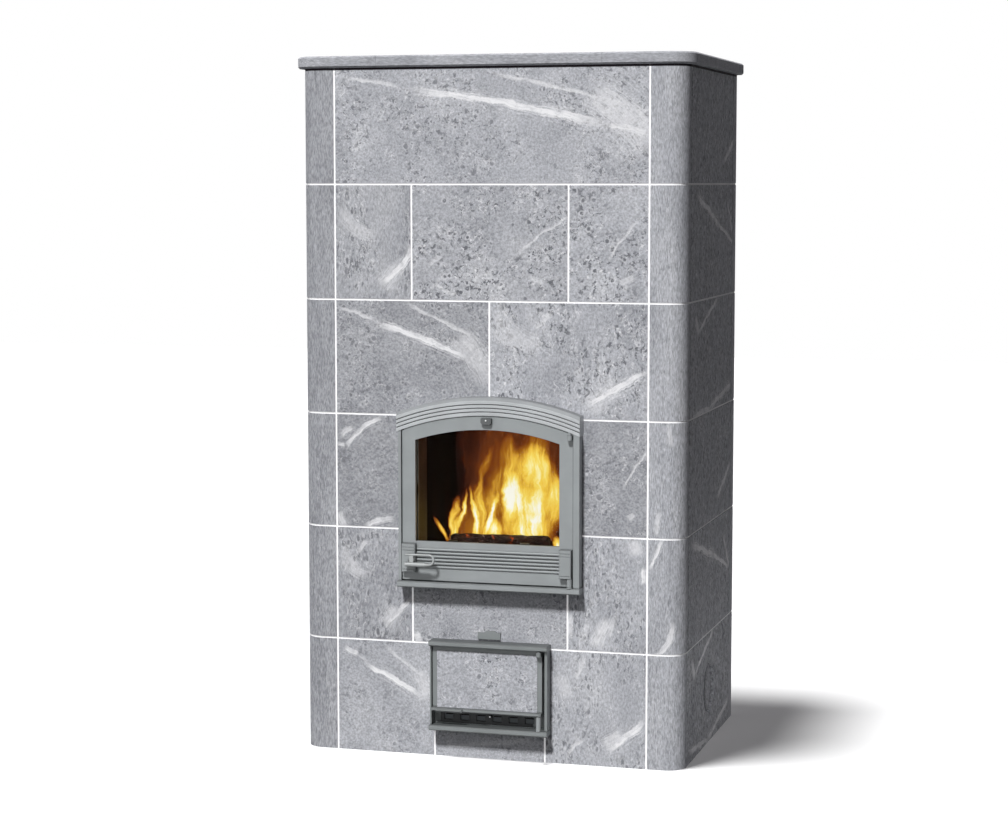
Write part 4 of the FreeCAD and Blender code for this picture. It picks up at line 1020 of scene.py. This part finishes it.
def flame_material(name, flames, seed):
    """Rising streaks of fire: white-yellow cores, orange edges, clear outside."""
    graph = MaterialGraph(name)
    axes = graph.axes(graph.place())
    swirl = graph.noise(graph.place(scale=(14.0, 0.0, 11.0), move=(seed, seed, 0.0)), 1.0, 4.0, 0.6)
    x = graph.math("ADD", axes[0], graph.math("MULTIPLY", graph.math("SUBTRACT", swirl, 0.5), 0.055))
    envelope = flame_envelope(graph, x, axes[2], flames)
    combine = graph.add("ShaderNodeCombineXYZ")
    graph.put(combine.inputs[0], graph.math("MULTIPLY", x, 48.0))
    graph.put(combine.inputs[1], graph.math("MULTIPLY", axes[2], 7.0))
    combine.inputs[2].default_value = seed
    strands = graph.step(graph.noise(combine.outputs[0], 1.0, 4.0, 0.6, 0.5), 0.30, 0.72)
    wisps = graph.noise(combine.outputs[0], 3.1, 2.0, 0.6, 0.4)
    detail = graph.math("ADD", graph.math("MULTIPLY", strands, 0.46), graph.math("MULTIPLY", wisps, 0.34))
    heat = graph.math("MULTIPLY", envelope, graph.math("ADD", detail, 0.56), clamp=True)
    return graph.finish(Base_Color=BLACK, Roughness=1.0, Specular_IOR_Level=0.0,
                        Emission_Color=graph.ramp(heat, FLAME_GLOW), Emission_Strength=1.0,
                        Alpha=graph.step(heat, 0.0, 0.22))


def flame_sheet(name, left, right, low, high, depth, sway, flames, seed):
    """Wavy upright sheet in the firebox that carries one layer of flame."""
    columns, rows = 26, 26
    sheet = bmesh.new()
    grid = []
    for row in range(rows + 1):
        line = []
        for column in range(columns + 1):
            u, v = column / columns, row / rows
            wave = sway * noise.noise(Vector((u * 2.2 + seed, v * 1.6, seed)))
            line.append(sheet.verts.new((left + (right - left) * u, depth + wave, low + (high - low) * v)))
        grid.append(line)
    for below, above in zip(grid, grid[1:]):
        for column in range(columns):
            face = sheet.faces.new((below[column], below[column + 1], above[column + 1], above[column]))
            face.smooth = True
    return new_piece(name, to_mesh(name, sheet), flame_material(name + "_glow", flames, seed),
                     "root")


def build_fire():
    """Two layers of flame, one behind the other, between the hearth and the top of the linings."""
    base = hearth_top + FLAME_GAP_LOW
    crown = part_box("firebox_back_lining")[1].z - FLAME_GAP_HIGH
    flame_sheet("flame_back", left=-0.205, right=0.205, low=base, high=crown, depth=0.03, sway=0.03,
                flames=BACK_FLAMES, seed=2.0)
    flame_sheet("flame_front", left=-0.212, right=0.205, low=base, high=crown, depth=-0.18, sway=0.012,
                flames=FRONT_FLAMES, seed=11.0)


def stud_mesh(name, centre, radius):
    """Small domed stud that faces the front."""
    shape = bmesh.new()
    rings = []
    for wide, out in STUD_PROFILE:
        ring = []
        for side in range(STUD_SIDES):
            angle = 2 * math.pi * side / STUD_SIDES
            ring.append(shape.verts.new((centre.x + radius * wide * math.cos(angle), centre.y - radius * out,
                                         centre.z + radius * wide * math.sin(angle))))
        rings.append(ring)
    close_rings(shape, rings)
    return to_mesh(name, shape)


def build_studs():
    """Bright studs on the wash air tab and the shutter's knob."""
    bright = steel("bright_steel", BRIGHT_STEEL, 0.30)
    tab_low, tab_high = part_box("wash_air_knob")
    tab_stud = Vector(((tab_low.x + tab_high.x) / 2, tab_low.y, tab_low.z + TAB_STUD_RISE))
    new_piece("wash_air_stud", stud_mesh("wash_air_stud", tab_stud, TAB_STUD_RADIUS), bright,
              "wash_air")
    frame_low, frame_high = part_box("ash_door_frame")
    knob_stud = Vector(((frame_low.x + frame_high.x) / 2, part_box("air_shutter")[0].y,
                        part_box("ash_door_leaf")[0].z - KNOB_STUD_DROP))
    new_piece("shutter_stud", stud_mesh("shutter_stud", knob_stud, KNOB_STUD_RADIUS), bright,
              "shutter")


def seen_rays(graph):
    """One for rays that show a surface to the camera, straight, mirrored or through glass."""
    path = graph.add("ShaderNodeLightPath")
    seen = graph.math("MAXIMUM", path.outputs["Is Camera Ray"], path.outputs["Is Glossy Ray"])
    seen = graph.math("MAXIMUM", seen, path.outputs["Is Transmission Ray"])
    return graph.math("MULTIPLY", seen, graph.math("LESS_THAN", path.outputs["Diffuse Depth"], 0.5))


def build_stage():
    """Pale floor that runs into a white background."""
    mesh = bpy.data.meshes.new("floor")
    corners = [(x * FLOOR_REACH, y * FLOOR_REACH, 0) for x, y in ((-1, -1), (1, -1), (1, 1), (-1, 1))]
    mesh.from_pydata(corners, [], [(0, 1, 2, 3)])
    floor = bpy.data.objects.new("floor", mesh)
    bpy.context.collection.objects.link(floor)
    graph = MaterialGraph("floor_white")
    seen = seen_rays(graph)
    grey = graph.step(seen, 0.0, 1.0, FLOOR_BOUNCE, FLOOR_SEEN)
    lift = graph.math("MULTIPLY", seen, FLOOR_LIFT)
    mesh.materials.append(graph.finish(Base_Color=grey, Roughness=1.0, Specular_IOR_Level=0.0,
                                       Emission_Color=WHITE, Emission_Strength=lift))
    return floor


def build_sky():
    """Soft grey light from all round that shows as white behind the object."""
    world = bpy.data.worlds.new("studio")
    bpy.context.scene.world = world
    world.use_nodes = True
    graph = Graph(world.node_tree)
    background = graph.tree.nodes["Background"]
    seen = seen_rays(graph)
    graph.put(background.inputs["Color"], graph.mix(seen, SKY_TINT, WHITE))
    graph.put(background.inputs["Strength"], graph.step(seen, 0.0, 1.0, SKY_STRENGTH, 1.0))


def link_floor(lamp, floor, state):
    """Lets a lamp light only the floor, or all but the floor."""
    group = bpy.data.collections.new(lamp.name + "_receivers")
    group.objects.link(floor)
    group.collection_objects[0].light_linking.link_state = state
    lamp.light_linking.receiver_collection = group


def pass_through(lamp, names):
    """Lets a lamp shine through pieces whose shadow the photograph doesn't show."""
    group = bpy.data.collections.new(lamp.name + "_blockers")
    for name in names:
        group.objects.link(nodes[name])
    for item in group.collection_objects:
        item.light_linking.link_state = "EXCLUDE"
    lamp.light_linking.blocker_collection = group


def add_lamp(name, data, direction):
    """Places a lamp whose light comes from the given direction."""
    lamp = bpy.data.objects.new(name, data)
    lamp.rotation_mode = "QUATERNION"
    lamp.rotation_quaternion = Vector(direction).to_track_quat("Z", "Y")
    bpy.context.collection.objects.link(lamp)
    return lamp


def add_sun(name, direction, strength, softness):
    """Far lamp with a given strength and width in degrees."""
    data = bpy.data.lights.new(name, "SUN")
    data.energy = strength
    data.angle = math.radians(softness)
    return add_lamp(name, data, direction)


def add_bounce():
    """Strip lamp that stands for the light which a white floor throws back onto the shaded side."""
    data = bpy.data.lights.new("bounce_light", "AREA")
    data.shape = "RECTANGLE"
    data.size = BOUNCE_LONG
    data.size_y = BOUNCE_TALL
    data.energy = BOUNCE_POWER
    strip = add_lamp("bounce_light", data, BOUNCE_FROM)
    strip.location = (cad_high.x + BOUNCE_AWAY, 0.0, BOUNCE_HEIGHT)
    strip.visible_camera = False
    return strip


def build_lights(floor):
    """Lamps that light the stove and not the floor, and one that lights only the floor, for its shadow."""
    key = add_sun("key_light", KEY_FROM, KEY_STRENGTH, KEY_SOFTNESS)
    link_floor(key, floor, "EXCLUDE")
    pass_through(key, KEY_PASSES)
    fill = add_sun("fill_light", FILL_FROM, FILL_STRENGTH, FILL_SOFTNESS)
    link_floor(fill, floor, "EXCLUDE")
    overhead = add_sun("floor_light", FLOOR_FROM, FLOOR_STRENGTH, FLOOR_SOFTNESS)
    link_floor(overhead, floor, "INCLUDE")
    pass_through(overhead, FLOOR_LIGHT_PASSES)
    back = add_sun("back_light", BACK_FROM, BACK_STRENGTH, BACK_SOFTNESS)
    link_floor(back, floor, "EXCLUDE")
    link_floor(add_bounce(), floor, "EXCLUDE")


def build_camera():
    """Camera of the photograph."""
    data = bpy.data.cameras.new("camera")
    data.sensor_width = SENSOR
    data.lens = SENSOR * FOCAL_PIXELS / PHOTO_WIDTH
    camera = bpy.data.objects.new("camera", data)
    bpy.context.collection.objects.link(camera)
    camera.location = CAMERA_POINT
    camera.rotation_euler = (math.radians(90.0 - CAMERA_PITCH), 0.0, math.radians(CAMERA_YAW))
    bpy.context.scene.camera = camera


dress_front()
dress_corners()
dress_sides()
dress_back()
dress_other_stone()
dress_metal()
build_logs()
build_embers()
build_fire()
build_studs()
stage_floor = build_stage()
build_sky()
build_lights(stage_floor)
build_camera()
bpy.context.scene.view_settings.view_transform = "Standard"
